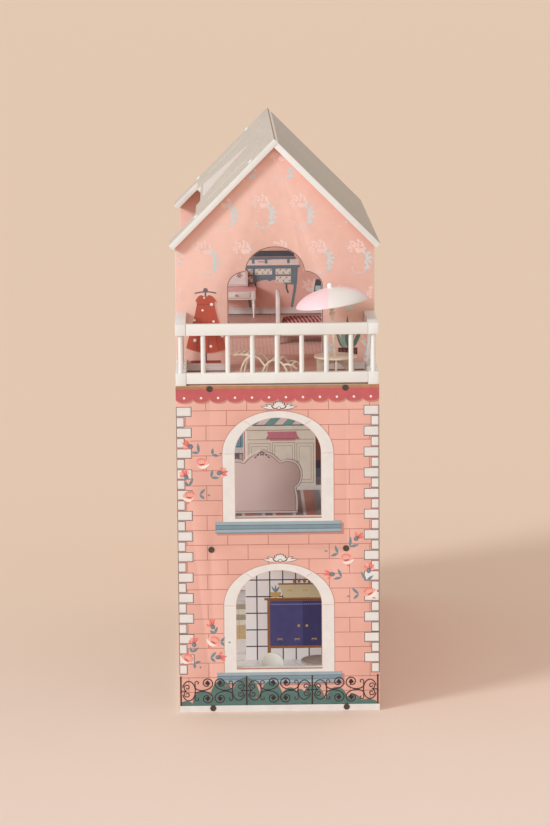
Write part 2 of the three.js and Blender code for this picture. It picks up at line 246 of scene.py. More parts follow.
def paint(name, colour, mottle=0.03, roughness=0.42):
    """Sprayed paint on board: smooth, with slight orange peel and duller patches."""
    finish = Finish(name, roughness)
    finish.paint(finish.coat(colour, mottle, 22))
    finish.rough(finish.ramp(finish.noise(9), 0, 1) * 0.16 + (roughness - 0.08))
    return finish.emboss(finish.noise(1.6, 3), 0.03).material


WHITE_PAINT = paint("white_paint", tone(234, 223, 214))
CUT_EDGE = paint("painted_cut_edge", tone(230, 214, 202), 0.06, 0.55)
print("first finishes:", WHITE_PAINT.name, "and", CUT_EDGE.name)

# %% [markdown]
# The CAD boards are plain prisms with razor corners. A real board is sawn, lightly sanded, and
# printed on its faces only. So each board gets a copy with its corners eased by a third of a
# millimetre, and its faces take their print by the way they look. The copy replaces the CAD node.

# %% Easing a board and printing its faces
DIRECTIONS = {"-X": (-1, 0, 0), "+X": (1, 0, 0), "-Y": (0, -1, 0), "+Y": (0, 1, 0), "-Z": (0, 0, -1),
              "+Z": (0, 0, 1)}


def body_of_node(node):
    return next(body for body, nodes in frame["record"]["behaviour"]["bodies"].items() if node in nodes)


def finish_mesh(name, mesh, materials, soften=30):
    """A bmesh becomes a linked object at the origin, smooth except at its corners."""
    data = bpy.data.meshes.new(name)
    mesh.to_mesh(data)
    mesh.free()
    for material in materials:
        data.materials.append(material)
    data.shade_smooth()
    data.set_sharp_from_angle(angle=math.radians(soften))
    piece = bpy.data.objects.new(name, data)
    bpy.context.scene.collection.objects.link(piece)
    return piece


def eased(node, edge, faces=None, ease=0.35, segments=2, corner=35):
    """A CAD node's copy with eased corners. faces maps a direction to the print on that side."""
    mesh = bmesh.new()
    mesh.from_mesh(frame["nodes"][node].data)
    bmesh.ops.remove_doubles(mesh, verts=mesh.verts, dist=1e-6)
    bmesh.ops.dissolve_limit(mesh, angle_limit=math.radians(0.5), verts=mesh.verts, edges=mesh.edges)
    sharp = [e for e in mesh.edges if len(e.link_faces) == 2 and e.calc_face_angle(0) > math.radians(corner)]
    bmesh.ops.bevel(mesh, geom=sharp, offset=ease * MM, segments=segments, profile=0.5,
                    affect="EDGES", clamp_overlap=True)
    prints = list((faces or {}).items())
    ways = [Vector(DIRECTIONS.get(way, way)) for way, _ in prints]
    for face in mesh.faces:
        for slot, way in enumerate(ways, start=1):
            if face.normal.dot(way) > 0.97:
                face.material_index = slot
    piece = finish_mesh(node + "_eased", mesh, [edge] + [material for _, material in prints], 45)
    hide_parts(node)
    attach(piece, body_of_node(node))
    return piece


print("a board can be eased and printed in one call")

# %% [markdown]
# The artwork on the walls is ink, but ink drawn as shapes stays crisp from any distance. Print
# collects outlines on one face of a board and turns each into a closed prism a few hundredths of a
# millimetre thick. A later coat lies on top of an earlier one. HALF is half the width of the end walls,
# EDGE is how far ink may reach on them, and SKIRTING_END is where their skirting stops.

# %% Print: artwork on one face of a board
UP = Vector((0, 0, 1))
HALF = 150
EDGE = 149.8
SKIRTING_END = 149.4
ROOT_HALF = math.sqrt(0.5)


class Print:
    FIRST_COAT = 0.06
    COAT = 0.03

    def __init__(self, name, origin, right, up=UP):
        self.name = name
        self.origin = Vector(origin)
        self.right = Vector(right)
        self.up = Vector(up)
        self.out = self.right.cross(self.up)
        self.mesh = bmesh.new()
        self.inks = []
        self.inside = None
        self.laid = 0

    def corner(self, point, height):
        place = self.origin + self.right * point[0] + self.up * point[1] + self.out * height
        return self.mesh.verts.new(place * MM)

    def slot(self, material):
        """A material's place in this print; an ink may be given by its name."""
        if isinstance(material, str):
            material = INK[material]
        if material not in self.inks:
            self.inks.append(material)
        return self.inks.index(material)

    def top(self, coat):
        """A coat's height. Neighbours in one coat differ by a few microns, so none share a plane."""
        self.laid = (self.laid + 1) % 12
        return self.FIRST_COAT + self.COAT * coat + self.laid * self.COAT / 14

    def face(self, corners, slot):
        self.mesh.faces.new(corners).material_index = slot

    def shape(self, outline, material, coat=1):
        """One closed prism. Shapes that leave the printable area are dropped."""
        if self.inside and not all(self.inside(a, b) for a, b in outline):
            return
        if area(outline) < 0:
            outline = outline[::-1]
        slot = self.slot(material)
        low = [self.corner(p, 0.01) for p in outline]
        high = [self.corner(p, self.top(coat)) for p in outline]
        self.face(high, slot)
        self.face(low[::-1], slot)
        for i in range(len(outline)):
            j = (i + 1) % len(outline)
            self.face((low[i], low[j], high[j], high[i]), slot)

    def block(self, left, bottom, right, top, material, coat=1):
        self.shape(rectangle(left, bottom, right, top), material, coat)

    def ring(self, outer, inner, material, coat=1):
        """A closed band between two outlines with the same number of points."""
        if area(outer) < 0:
            outer, inner = outer[::-1], inner[::-1]
        slot = self.slot(material)
        top = self.top(coat)
        loops = [[self.corner(p, h) for p in line] for line, h in
                 ((outer, 0.01), (outer, top), (inner, top), (inner, 0.01))]
        for i in range(len(outer)):
            j = (i + 1) % len(outer)
            for a, b in zip(loops, loops[1:] + loops[:1]):
                self.face((a[i], a[j], b[j], b[i]), slot)

    def stroke(self, path, width, material, coat=1, taper=0.0):
        """A line of ink; taper narrows it towards its end."""
        left, right = [], []
        for i, point in enumerate(path):
            before, after = path[max(0, i - 1)], path[min(len(path) - 1, i + 1)]
            run = Vector((after[0] - before[0], after[1] - before[1])).normalized()
            half = width / 2 * (1 - taper * i / (len(path) - 1))
            left.append((point[0] - run.y * half, point[1] + run.x * half))
            right.append((point[0] + run.y * half, point[1] - run.x * half))
        self.shape(left + right[::-1], material, coat)

    def done(self, body="house"):
        if not self.mesh.faces:
            raise ValueError(self.name + " has no shapes")
        piece = finish_mesh(self.name, self.mesh, self.inks)
        print(self.name, "has", len(piece.data.polygons), "faces in", len(self.inks), "inks")
        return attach(piece, body)


# %% [markdown]
# The printed pictures are cut from a few kinds of outline: rectangles, arcs, leaves and curls. Each
# could be typed as a list of points. Small functions are shorter, and one leaf then serves at many
# sizes and angles.

# %% Outlines: rectangles, arcs, leaves and curls
def area(outline):
    ends = outline[1:] + outline[:1]
    return sum(a[0] * b[1] - b[0] * a[1] for a, b in zip(outline, ends)) / 2


def rectangle(left, bottom, right, top):
    return [(left, bottom), (right, bottom), (right, top), (left, top)]


def arc(x, y, rx, ry, start, end, steps=12):
    """Points on an ellipse between two angles in degrees, both ends included."""
    angles = [math.radians(start + (end - start) * i / steps) for i in range(steps + 1)]
    return [(x + rx * math.cos(a), y + ry * math.sin(a)) for a in angles]


def ellipse(x, y, rx, ry, sides=14):
    return arc(x, y, rx, ry, 0, 360, sides)[:-1]


def turned(outline, degrees, x=0, y=0):
    """The outline turned about the origin and then moved to x, y."""
    c, s = math.cos(math.radians(degrees)), math.sin(math.radians(degrees))
    return [(x + a * c - b * s, y + a * s + b * c) for a, b in outline]


def leaf(x, y, length, width, degrees, steps=4, belly=0.45):
    """A leaf or petal from its foot at x, y, pointing along degrees."""
    side = []
    for i in range(1, steps):
        t = i / steps
        bulge = math.sin(math.pi * t ** (math.log(0.5) / math.log(belly)))
        side.append((length * t, width / 2 * bulge))
    outline = [(0, 0)] + side + [(length, 0)] + [(a, -b) for a, b in reversed(side)]
    return turned(outline, degrees, x, y)


def curl(x, y, start_radius, end_radius, start, end, steps=14):
    """A spiral line about x, y between two radii and two angles in degrees."""
    points = []
    for i in range(steps + 1):
        t = i / steps
        radius = start_radius + (end_radius - start_radius) * t
        angle = math.radians(start + (end - start) * t)
        points.append((x + radius * math.cos(angle), y + radius * math.sin(angle)))
    return points


def smooth(points, steps=5):
    """A Catmull-Rom curve through the points."""
    line = [points[0]] + list(points) + [points[-1]]
    made = []
    for p0, p1, p2, p3 in zip(line, line[1:], line[2:], line[3:]):
        for i in range(steps):
            t = i / steps
            made.append(tuple(
                0.5 * (2 * b + (c - a) * t + (2 * a - 5 * b + 4 * c - d) * t ** 2
                       + (3 * b - a - 3 * c + d) * t ** 3)
                for a, b, c, d in zip(p0, p1, p2, p3)))
    return made + [tuple(points[-1])]


print("a leaf has", len(leaf(0, 0, 10, 4, 0)), "points, an ellipse", len(ellipse(0, 0, 1, 1)))

# %% [markdown]
# The outer walls are printed with pink bricks in running bond. A shader draws them, because the
# pattern follows a rule: a row number from the height, and a joint wherever the remainder of the
# position is small. Each row is moved by half a brick. Thin joints are a darker, redder pink.

# %% Brick print
BRICK = {"length": 60.3, "height": 22.5, "joint": 1.0, "top_joint": 458.4, "side_joint": -46.0}


def brick_print(name, along):
    finish = Finish(name, 0.48)
    axes = dict(zip("XYZ", finish.axes()))
    rows = (axes["Z"] - BRICK["top_joint"]) / BRICK["height"]
    row = rows.math("FLOOR")
    shift = ((row + 1) % 2) * (BRICK["length"] / 2)
    run = (axes[along] - BRICK["side_joint"] + shift + BRICK["length"] / 2) / BRICK["length"]
    bed_joint = (rows - row) < BRICK["joint"] / BRICK["height"]
    end_joint = (run % 1) < BRICK["joint"] / BRICK["length"]
    joint = bed_joint.math("MAXIMUM", end_joint)
    brick = finish.coat(tone(232, 170, 152), 0.035, 30)
    tint = finish.node("ShaderNodeTexWhiteNoise", {"noise_dimensions": "2D"},
                       {"Vector": finish.node("ShaderNodeCombineXYZ",
                                              inputs={0: run.math("FLOOR"), 1: row})})
    brick = finish.mix(tint * 0.35, brick, tone(228, 166, 148))
    finish.paint(finish.mix(joint * 0.9, brick, tone(170, 102, 90)))
    return finish.emboss(finish.noise(0.7, 2), 0.012).material


BRICK_PRINT = brick_print("brick_print", "X")
LONG_BRICK_PRINT = brick_print("long_brick_print", "Y")
print("brick print:", BRICK["length"], "by", BRICK["height"], "mm")

# %% [markdown]
# Inside, each storey has its own printed floor and walls: planks and salmon paper in the attic,
# stripes in the middle, and marble with white tiles on the ground floor. The roof is a matt
# grey-beige coat that lets a trace of the board's long grain through.

# %% Floors, papers and roof paint
def plank_print():
    finish = Finish("attic_plank_print", 0.44)
    x, y, z = finish.axes()
    row = (y / 26).math("FLOOR")
    tint = finish.node("ShaderNodeTexWhiteNoise", {"noise_dimensions": "1D"}, {"W": row})
    grain = finish.ramp(finish.noise(1, 4, finish.stretched(0.03, 0.5, 0.5)), 0.3, 0.7)
    plank = finish.mix(grain, tone(196, 142, 124), tone(226, 178, 160))
    plank = finish.mix(tint * 0.5, plank, tone(186, 128, 110))
    seam = ((y / 26) % 1) < 0.04
    butt = (((x + (row % 3) * 70) / 210) % 1) < 0.006
    finish.paint(finish.mix(seam.math("MAXIMUM", butt) * 0.7, plank, tone(120, 74, 62)))
    return finish.emboss(grain, 0.02).material


def stripe_print():
    """Broad and narrow stripes that run the length of the middle floor."""
    finish = Finish("middle_stripe_print", 0.44)
    x, y, z = finish.axes()
    step = (x / 48) % 1
    red = finish.coat(tone(168, 96, 84))
    colour = finish.mix(step > 0.32, red, finish.coat(tone(132, 120, 120)))
    colour = finish.mix(step > 0.55, colour, finish.coat(tone(206, 178, 164)))
    colour = finish.mix(step > 0.66, colour, finish.coat(tone(120, 88, 96)))
    colour = finish.mix(step > 0.9, colour, finish.coat(tone(206, 178, 164)))
    finish.paint(colour)
    return finish.emboss(finish.noise(0.7, 2), 0.012).material


def marble_print():
    finish = Finish("ground_marble_print", 0.3, {"Coat Weight": 0.2})
    x, y, z = finish.axes()
    drift = finish.noise(60, 5)
    vein = (finish.noise(38, 6) + drift * 0.4 - 0.7).math("ABSOLUTE")
    stone = finish.mix(finish.ramp(drift, 0.3, 0.7), tone(224, 208, 202), tone(240, 228, 222))
    stone = finish.mix(finish.ramp(vein, 0.03, 0.0) * 0.6, stone, tone(168, 158, 160))
    tile = ((x / 75) % 1).math("MINIMUM", (y / 75) % 1) < 0.012
    finish.paint(finish.mix(tile * 0.5, stone, tone(170, 158, 156)))
    return finish.emboss(finish.noise(0.7, 2), 0.01).material


def tile_print(name, size=(20.5, 26.9), start=(9.9, 5.6)):
    """White kitchen tiles with dark joints."""
    finish = Finish(name, 0.32, {"Coat Weight": 0.15})
    x, y, z = finish.axes()
    across = (x - start[0]) / size[0]
    high = (z - start[1]) / size[1]
    shade = finish.node("ShaderNodeTexWhiteNoise", {"noise_dimensions": "2D"}, {"Vector": finish.node(
        "ShaderNodeCombineXYZ", inputs={0: across.math("FLOOR"), 1: high.math("FLOOR")})})
    tile = finish.mix(shade, tone(226, 206, 200), tone(238, 220, 213))
    joint = ((across % 1) < 0.09).math("MAXIMUM", (high % 1) < 0.07)
    finish.paint(finish.mix(joint, tile, tone(52, 44, 50)))
    return finish.emboss(1 - joint, 0.02).material


def striped_paper(name, along, light, dark, pitch):
    finish = Finish(name, 0.5)
    axes = dict(zip("XYZ", finish.axes()))
    band = ((axes[along] / pitch) % 1) < 0.5
    finish.paint(finish.mix(band, finish.coat(light), finish.coat(dark)))
    return finish.emboss(finish.noise(0.7, 2), 0.012).material


def roof_coat():
    finish = Finish("roof_coat", 0.6)
    grain = finish.ramp(finish.noise(1, 5, finish.stretched(0.35, 0.02, 0.35)), 0.3, 0.7)
    colour = finish.mix(grain, tone(188, 168, 152), tone(202, 183, 168))
    cloud = finish.ramp(finish.noise(70, 3), 0.35, 0.65)
    finish.paint(finish.mix(cloud * 0.5, colour, tone(196, 178, 160)))
    return finish.emboss(grain, 0.04).material


PLANK_PRINT = plank_print()
STRIPE_PRINT = stripe_print()
MARBLE_PRINT = marble_print()
TILE_PRINT = tile_print("kitchen_tile_print")
CREAM_PAPER = striped_paper("cream_striped_paper", "X", tone(243, 226, 210), tone(236, 214, 197), 14)
LONG_CREAM_PAPER = striped_paper("long_cream_striped_paper", "Y", tone(243, 226, 210), tone(236, 214, 197),
                                 14)
SALMON_PAPER = ink("salmon_paper", tone(239, 185, 167), 0.03)
CEILING_PAINT = paint("ceiling_paint", tone(236, 222, 214))
RAW_BOARD = ink("raw_board_edge", tone(180, 122, 82), 0.12, 0.7)
ROOF_COAT = roof_coat()
print("papers and floors:", PLANK_PRINT.name, STRIPE_PRINT.name, MARBLE_PRINT.name, TILE_PRINT.name)

# %% [markdown]
# Each board is named with the side that carries each print. The edges that show stay white paint.

# %% The boards of the house
RIGHT_SLOPE = (ROOT_HALF, 0, ROOT_HALF)
LEFT_SLOPE = (-ROOT_HALF, 0, ROOT_HALF)

BOARD_PRINTS = {
    "balcony_end_wall": {"-Y": BRICK_PRINT, "+Y": CREAM_PAPER},
    "far_end_wall": {"+Y": BRICK_PRINT, "-Y": CREAM_PAPER},
    "back_panel": {"+X": LONG_BRICK_PRINT, "-X": LONG_CREAM_PAPER},
    "attic_back_panel": {"+X": SALMON_PAPER, "-X": SALMON_PAPER},
    "attic_door_gable": {"-Y": SALMON_PAPER, "+Y": SALMON_PAPER},
    "attic_far_gable": {"-Y": SALMON_PAPER, "+Y": SALMON_PAPER},
    "attic_floor_panel": {"+Z": PLANK_PRINT, "-Z": CEILING_PAINT},
    "middle_floor_panel": {"+Z": STRIPE_PRINT, "-Z": CEILING_PAINT},
    "ground_floor_panel": {"+Z": MARBLE_PRINT, "-Z": CEILING_PAINT},
    "ground_partition": {"-Y": TILE_PRINT, "+Y": TILE_PRINT},
    "middle_partition": {"-Y": CREAM_PAPER, "+Y": CREAM_PAPER},
}
for board, faces in BOARD_PRINTS.items():
    eased(board, CUT_EDGE, faces)
eased("roof_left_panel", WHITE_PAINT, {LEFT_SLOPE: ROOF_COAT, (ROOT_HALF, 0, -ROOT_HALF): SALMON_PAPER})
eased("roof_right_panel", WHITE_PAINT, {RIGHT_SLOPE: ROOF_COAT, (-ROOT_HALF, 0, -ROOT_HALF): SALMON_PAPER})

# %% [markdown]
# The railing is square rails with round dowels between them, all sprayed white. The fifteen
# dowels are alike, so one Geometry Nodes tree turns a cloud of points into dowels: it stands a
# cylinder on each point. Its sizes are named inputs, and the result is baked to a plain mesh.

# %% Growing pieces with Geometry Nodes
class Grower(Nodes):
    """A Geometry Nodes tree whose named inputs can be set before it is baked."""

    KINDS = {"float": "NodeSocketFloat", "int": "NodeSocketInt", "turn": "NodeSocketRotation",
             "object": "NodeSocketObject", "material": "NodeSocketMaterial"}

    def __init__(self, name, **inputs):
        self.group = bpy.data.node_groups.new(name, "GeometryNodeTree")
        super().__init__(self.group)
        sockets = self.group.interface
        sockets.new_socket("Geometry", in_out="INPUT", socket_type="NodeSocketGeometry")
        sockets.new_socket("Geometry", in_out="OUTPUT", socket_type="NodeSocketGeometry")
        for label, kind in inputs.items():
            sockets.new_socket(label, in_out="INPUT", socket_type=self.KINDS[kind])
        self.given = self.group.nodes.new("NodeGroupInput")
        self.result = self.group.nodes.new("NodeGroupOutput")

    def input(self, name):
        return Wire(self, self.given.outputs[name])

    def finish(self, geometry, material):
        plain = self.node("GeometryNodeRealizeInstances", inputs={0: geometry})
        painted = self.node("GeometryNodeSetMaterial", inputs={"Geometry": plain, "Material": material})
        self.plug(self.result.inputs[0], painted)

    def bake(self, name, points, **values):
        """Runs the tree on points given in millimetres, and keeps the plain mesh that it made."""
        cloud = bpy.data.meshes.new(name + "_points")
        cloud.from_pydata([tuple(Vector(p) * MM) for p in points], [], [])
        source = bpy.data.objects.new(name + "_points", cloud)
        bpy.context.scene.collection.objects.link(source)
        modifier = source.modifiers.new("grow", "NODES")
        modifier.node_group = self.group
        for item in self.group.interface.items_tree:
            if item.in_out == "INPUT" and item.name in values:
                modifier[item.identifier] = values[item.name]
        graph = bpy.context.evaluated_depsgraph_get()
        mesh = bpy.data.meshes.new_from_object(source.evaluated_get(graph), depsgraph=graph)
        bpy.data.objects.remove(source)
        mesh.set_sharp_from_angle(angle=math.radians(35))
        piece = bpy.data.objects.new(name, mesh)
        bpy.context.scene.collection.objects.link(piece)
        print(name, "grew at", len(points), "points:", len(mesh.polygons), "faces")
        return piece


def dowel_tree():
    """A dowel on each point: a smooth-shaded cylinder of the given radius, length and number of sides."""
    tree = Grower("dowels", Radius="float", Length="float", Sides="int", Finish="material")
    rod = tree.node("GeometryNodeMeshCylinder", inputs={
        "Vertices": tree.input("Sides"), "Radius": tree.input("Radius"), "Depth": tree.input("Length")})
    smooth_rod = tree.node("GeometryNodeSetShadeSmooth", inputs={"Geometry": rod})
    stood = tree.node("GeometryNodeInstanceOnPoints",
                      inputs={"Points": tree.input("Geometry"), "Instance": smooth_rod})
    tree.finish(stood, tree.input("Finish"))
    return tree


def copies_tree():
    """A turned copy of a template piece on each point."""
    tree = Grower("copies", Template="object", Turn="turn", Finish="material")
    template = tree.node("GeometryNodeObjectInfo", inputs={"Object": tree.input("Template")},
                         output="Geometry")
    set_out = tree.node("GeometryNodeInstanceOnPoints", inputs={
        "Points": tree.input("Geometry"), "Instance": template, "Rotation": tree.input("Turn")})
    tree.finish(set_out, tree.input("Finish"))
    return tree


DOWELS = dowel_tree()
COPIES = copies_tree()


def stand_for(piece, nodes, body="house"):
    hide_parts(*nodes)
    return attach(piece, body)


def middle(node):
    low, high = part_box(node)
    return (low + high) / 2 / MM


def nodes_named(start):
    return sorted(name for name in frame["nodes"] if name.startswith(start))


# %% [markdown]
# The railing's dowels stand on points taken from their CAD nodes, so none is out of place. The rails
# are short square bars, and are eased as the boards are.

# %% The railing
balusters = nodes_named("baluster_")
baluster_low, baluster_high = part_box(balusters[0])
dowels = DOWELS.bake("railing_dowels", [middle(node) for node in balusters], Sides=28, Finish=WHITE_PAINT,
                     Radius=(baluster_high.x - baluster_low.x) / 2,
                     Length=baluster_high.z - baluster_low.z + 2 * 0.3 * MM)
stand_for(dowels, balusters)
for rail in nodes_named("rail_"):
    eased(rail, WHITE_PAINT, ease=0.8, segments=3)
print("railing:", len(balusters), "dowels and", len(nodes_named("rail_")), "rails")

# %% [markdown]
# The boards are held by bolts with low bronze heads and hexagon sockets. One head is turned as a
# profile with a real six-sided recess, then the copies tree sets it on every bolt's place. The far
# end wall is bolted like the near one. The roof's four screws have white domed caps.

# %% A template for the copies tree
def lathe(profile, sides=32, socket=None):
    """A closed turned mesh about +Z from [radius, height] points; the first and last lie on the axis."""
    mesh = bmesh.new()
    loops = []
    for radius, height in profile:
        if radius == 0:
            loops.append([mesh.verts.new((0, 0, height * MM))] * sides)
            continue
        ring = []
        for i in range(sides):
            angle = 2 * math.pi * i / sides
            reach = radius
            if socket and height in socket:
                wedge = angle % (math.pi / 3) - math.pi / 6
                reach = radius * math.cos(math.pi / 6) / math.cos(wedge)
            ring.append(mesh.verts.new((reach * math.cos(angle) * MM, reach * math.sin(angle) * MM,
                                        height * MM)))
        loops.append(ring)
    for below, above in zip(loops, loops[1:]):
        for i in range(sides):
            j = (i + 1) % sides
            corners = list(dict.fromkeys((below[i], below[j], above[j], above[i])))
            if len(corners) > 2:
                mesh.faces.new(corners)
    bmesh.ops.recalc_face_normals(mesh, faces=mesh.faces)
    return mesh


def template(name, mesh):
    piece = finish_mesh(name, mesh, [])
    piece.hide_render = True
    return piece


def metal(name, colour, roughness):
    finish = Finish(name, roughness, {"Metallic": 0.85})
    finish.paint(finish.coat(colour, 0.12, 3))
    finish.rough(finish.ramp(finish.noise(1.2, 4), 0.2, 0.8) * 0.2 + roughness)
    return finish.emboss(finish.noise(0.5, 2), 0.01).material


BOLT_BRONZE = metal("bolt_bronze", tone(96, 86, 74), 0.3)
SCREW_WHITE = paint("screw_cap_enamel", tone(228, 222, 214), roughness=0.3)

bolt_nodes = nodes_named("bolt_")
bolt_radius = (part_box(bolt_nodes[0])[1].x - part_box(bolt_nodes[0])[0].x) / 2 / MM
head_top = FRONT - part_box(bolt_nodes[0])[0].y / MM
bolt_head = template("bolt_head", lathe(
    [(0, -3), (3, -3), (3, 0.02), (bolt_radius, 0.02), (bolt_radius, head_top * 0.5),
     (bolt_radius - 0.25, head_top * 0.85),
     (bolt_radius - 0.8, head_top), (2.75, head_top), (2.6, head_top - 0.1), (2.45, 0.5), (0, 0.42)],
    sides=36, socket=(head_top, head_top - 0.1, 0.5)))
bolt_places = [middle(node) for node in bolt_nodes]
near_bolts = COPIES.bake("bolts_balcony_end", [(p.x, FRONT, p.z) for p in bolt_places],
                         Template=bolt_head, Turn=(math.pi / 2, 0, 0), Finish=BOLT_BRONZE)
stand_for(near_bolts, bolt_nodes)
far_bolts = COPIES.bake("bolts_far_end", [(p.x, FAR, p.z) for p in bolt_places],
                        Template=bolt_head, Turn=(-math.pi / 2, 0, 0), Finish=BOLT_BRONZE)
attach(far_bolts, "house")

screw_nodes = nodes_named("roof_screw_")
cap = template("screw_cap", lathe(
    [(0, -6), (1.5, -6), (1.5, 0.02), (4.2, 0.02), (4.15, 0.5), (3.7, 1.15), (2.6, 1.75), (1.2, 2.06),
     (0, 2.1)]))
# A screw's CAD node runs from its domed head, 2.1 proud of the roof, to its shank's end below.
ROOF_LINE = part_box("roof_left_panel")[1].z / MM
screw_places = []
for node in screw_nodes:
    centre = middle(node)
    lift = (ROOF_LINE - centre.z + centre.x) / 2
    screw_places.append((centre.x - lift, centre.y, centre.z + lift))
roof_caps = COPIES.bake("roof_screw_caps", screw_places, Template=cap, Turn=(0, -math.pi / 4, 0),
                        Finish=SCREW_WHITE)
stand_for(roof_caps, screw_nodes)
for spare in (bolt_head, cap):
    bpy.data.objects.remove(spare)

# %% [markdown]
# The balcony end wall is one large print. Its inks are mixed first: each is a satin colour with the
# faint mottling of print on paper.

# %% Inks for the outside prints
INK = {}


def mix_inks(**inks):
    """Adds inks by name. Each is its screen colour, then any special mottling and roughness."""
    for name, (red, green, blue, *rest) in inks.items():
        INK[name] = ink(name + "_ink", tone(red, green, blue), *rest)


mix_inks(
    white=(231, 217, 208), shade=(212, 195, 188), outline=(66, 50, 58), joint=(214, 172, 162),
    valance=(194, 90, 90, 0.06), shadow=(196, 132, 118), slate=(126, 142, 150, 0.05),
    pale_slate=(154, 165, 169), dark_slate=(96, 108, 116), bush=(84, 112, 104, 0.09),
    iron=(52, 26, 30, 0.1), berry=(204, 92, 72), petal=(232, 124, 112, 0.08),
    pale_petal=(242, 170, 152, 0.06), deep_petal=(190, 66, 66, 0.08), petal_white=(250, 226, 212),
    leaf=(118, 132, 138, 0.1),
)
print("outside inks:", len(INK))

# %% [markdown]
# A painter of such a wall repeats a few stencils: the stone block, the arch, the scallop, the shell,
# the blossom and the scroll. Each is a short function here, drawn in millimetres on the wall, and
# the wall's art calls them where they belong.

# %% Stencils for stone, arches and shells
WINDOW = {"half": 63.75, "jamb": 95.5, "rise": 53.25}
WINDOW_BOTTOMS = (68.25, 298.5)
SURROUND = {"half": 82, "below": 7.5, "rise": 63.5}


def arch_line(half, bottom, spring, rise, steps=28):
    crown = arc(0, spring, half, rise, 0, 180, steps)[1:]
    return [(half, bottom), (half, spring)] + crown + [(-half, bottom)]


def stone(art, left, bottom, right, top):
    """A corner stone: dark outline, white face, shaded foot."""
    art.block(left, bottom, right, top, "outline", 2)
    art.block(left + 0.8, bottom + 0.9, right - 0.8, top - 0.8, "shade", 3)
    art.block(left + 0.8, bottom + 2.2, right - 2.2, top - 0.8, "white", 4)


def quoins(art, sign, edge=150, top=465.4, pitch=15.64, count=26):
    """Long and short stones in turn down one corner; sign is -1 at the left edge."""
    for row in range(count):
        high = top - row * pitch
        reach = 23 if row % 2 == 0 else 12.5
        inner, outer = sign * (edge - reach), sign * (edge - 0.4)
        stone(art, min(inner, outer), high - pitch + 0.4, max(inner, outer), high - 0.4)


def surround(art, bottom):
    """The white frame printed round an arched window, with its joints."""
    spring = bottom + WINDOW["jamb"]
    foot = bottom - SURROUND["below"]
    for grow, tint, coat in ((1.0, "shadow", 2), (0, "white", 3)):
        outer = arch_line(SURROUND["half"] + grow, foot - grow, spring, SURROUND["rise"] + grow)
        inner = arch_line(WINDOW["half"] + 0.5, bottom - 0.4, spring, WINDOW["rise"] + 0.5)
        art.ring(outer, inner, tint, coat)
    half = WINDOW["half"]
    art.block(-half - 0.4, bottom - 1.6, half + 0.4, bottom - 0.4, "shadow", 5)
    art.block(-half - 0.4, bottom - 2.2, half + 0.4, bottom - 1.6, "outline", 5)
    for angle in (0, 52, 128, 180):
        way = (math.cos(math.radians(angle)), math.sin(math.radians(angle)))
        start = (way[0] * (WINDOW["half"] + 1.5), spring + way[1] * (WINDOW["rise"] + 1.5))
        end = (way[0] * (SURROUND["half"] - 1), spring + way[1] * (SURROUND["rise"] - 1))
        art.stroke([start, end], 0.8, "joint", 4)


def shell(art, x, y):
    """A fan of seven petals over two side scrolls, like a keystone ornament."""
    art.shape(ellipse(x, y + 0.5, 10, 3.2), "shadow", 4)
    for sign in (-1, 1):
        for reach, turn in ((22, 8), (16, 24)):
            foot = x + sign * 4
            angle = turn if sign > 0 else 180 - turn
            art.shape(leaf(foot, y - 2.5, reach + 1.4, 5.4, angle), "outline", 5)
            art.shape(leaf(foot, y - 2.5, reach, 4.0, angle), "white", 6)
    for angle in (20, 160, 45, 135, 68, 112, 90):
        art.shape(leaf(x, y - 2.5, 12.4, 5.6, angle, belly=0.62), "outline", 7)
        art.shape(leaf(x, y - 1.8, 10.6, 4.0, angle, belly=0.62), "white", 8)
    art.shape(ellipse(x, y - 1.6, 3.4, 2.4), "outline", 9)
    art.shape(ellipse(x, y - 1.5, 2.5, 1.6), "white", 10)


def sill(art, bottom):
    """A blue-grey moulded sill under a window, with two grooves and a printed shadow."""
    top = bottom - 7
    foot = top - 17.4
    art.block(-91, foot - 3, 97, top - 3, "shadow", 2)
    art.block(-93.5, foot, 93.5, top, "dark_slate", 4)
    for low, high, tint in ((0.72, 1.0, "pale_slate"), (0.38, 0.66, "slate"), (0.06, 0.32, "pale_slate")):
        art.block(-93.5, foot + 17.4 * low, 93.2, foot + 17.4 * high, tint, 5)


def valance(art, top=491.4, valley=477.5, drop=6, count=12):
    """A scalloped cloth edge under the deck, with its soft printed shadow and dots."""
    pitch = 2 * HALF / count
    for shift, down, tint, coat in ((1.6, 2.4, "shadow", 1), (0, 0, "valance", 5)):
        line = [(-EDGE, top), (-EDGE, valley - down)]
        for i in range(count):
            centre = -HALF + pitch * (i + 0.5)
            line += [(min(EDGE, max(-EDGE, a + shift)), b)
                     for a, b in arc(centre, valley - down, pitch / 2, drop, 180, 360, 10)[1:]]
        line.append((EDGE, top))
        art.shape(line, tint, coat)
    for i in range(count):
        art.shape(ellipse(-HALF + pitch * (i + 0.5), 478, 1.8, 1.8, 10), "petal_white", 6)


print("stencils for stone: corner stones, surround, shell, sill and valance")

# %% [markdown]
# The flowers of the end wall are poppies with long petals, open roses and twigs of leaves. A picture
# file could carry them. Leaf outlines laid in coats stay sharp at any distance, like a real print.

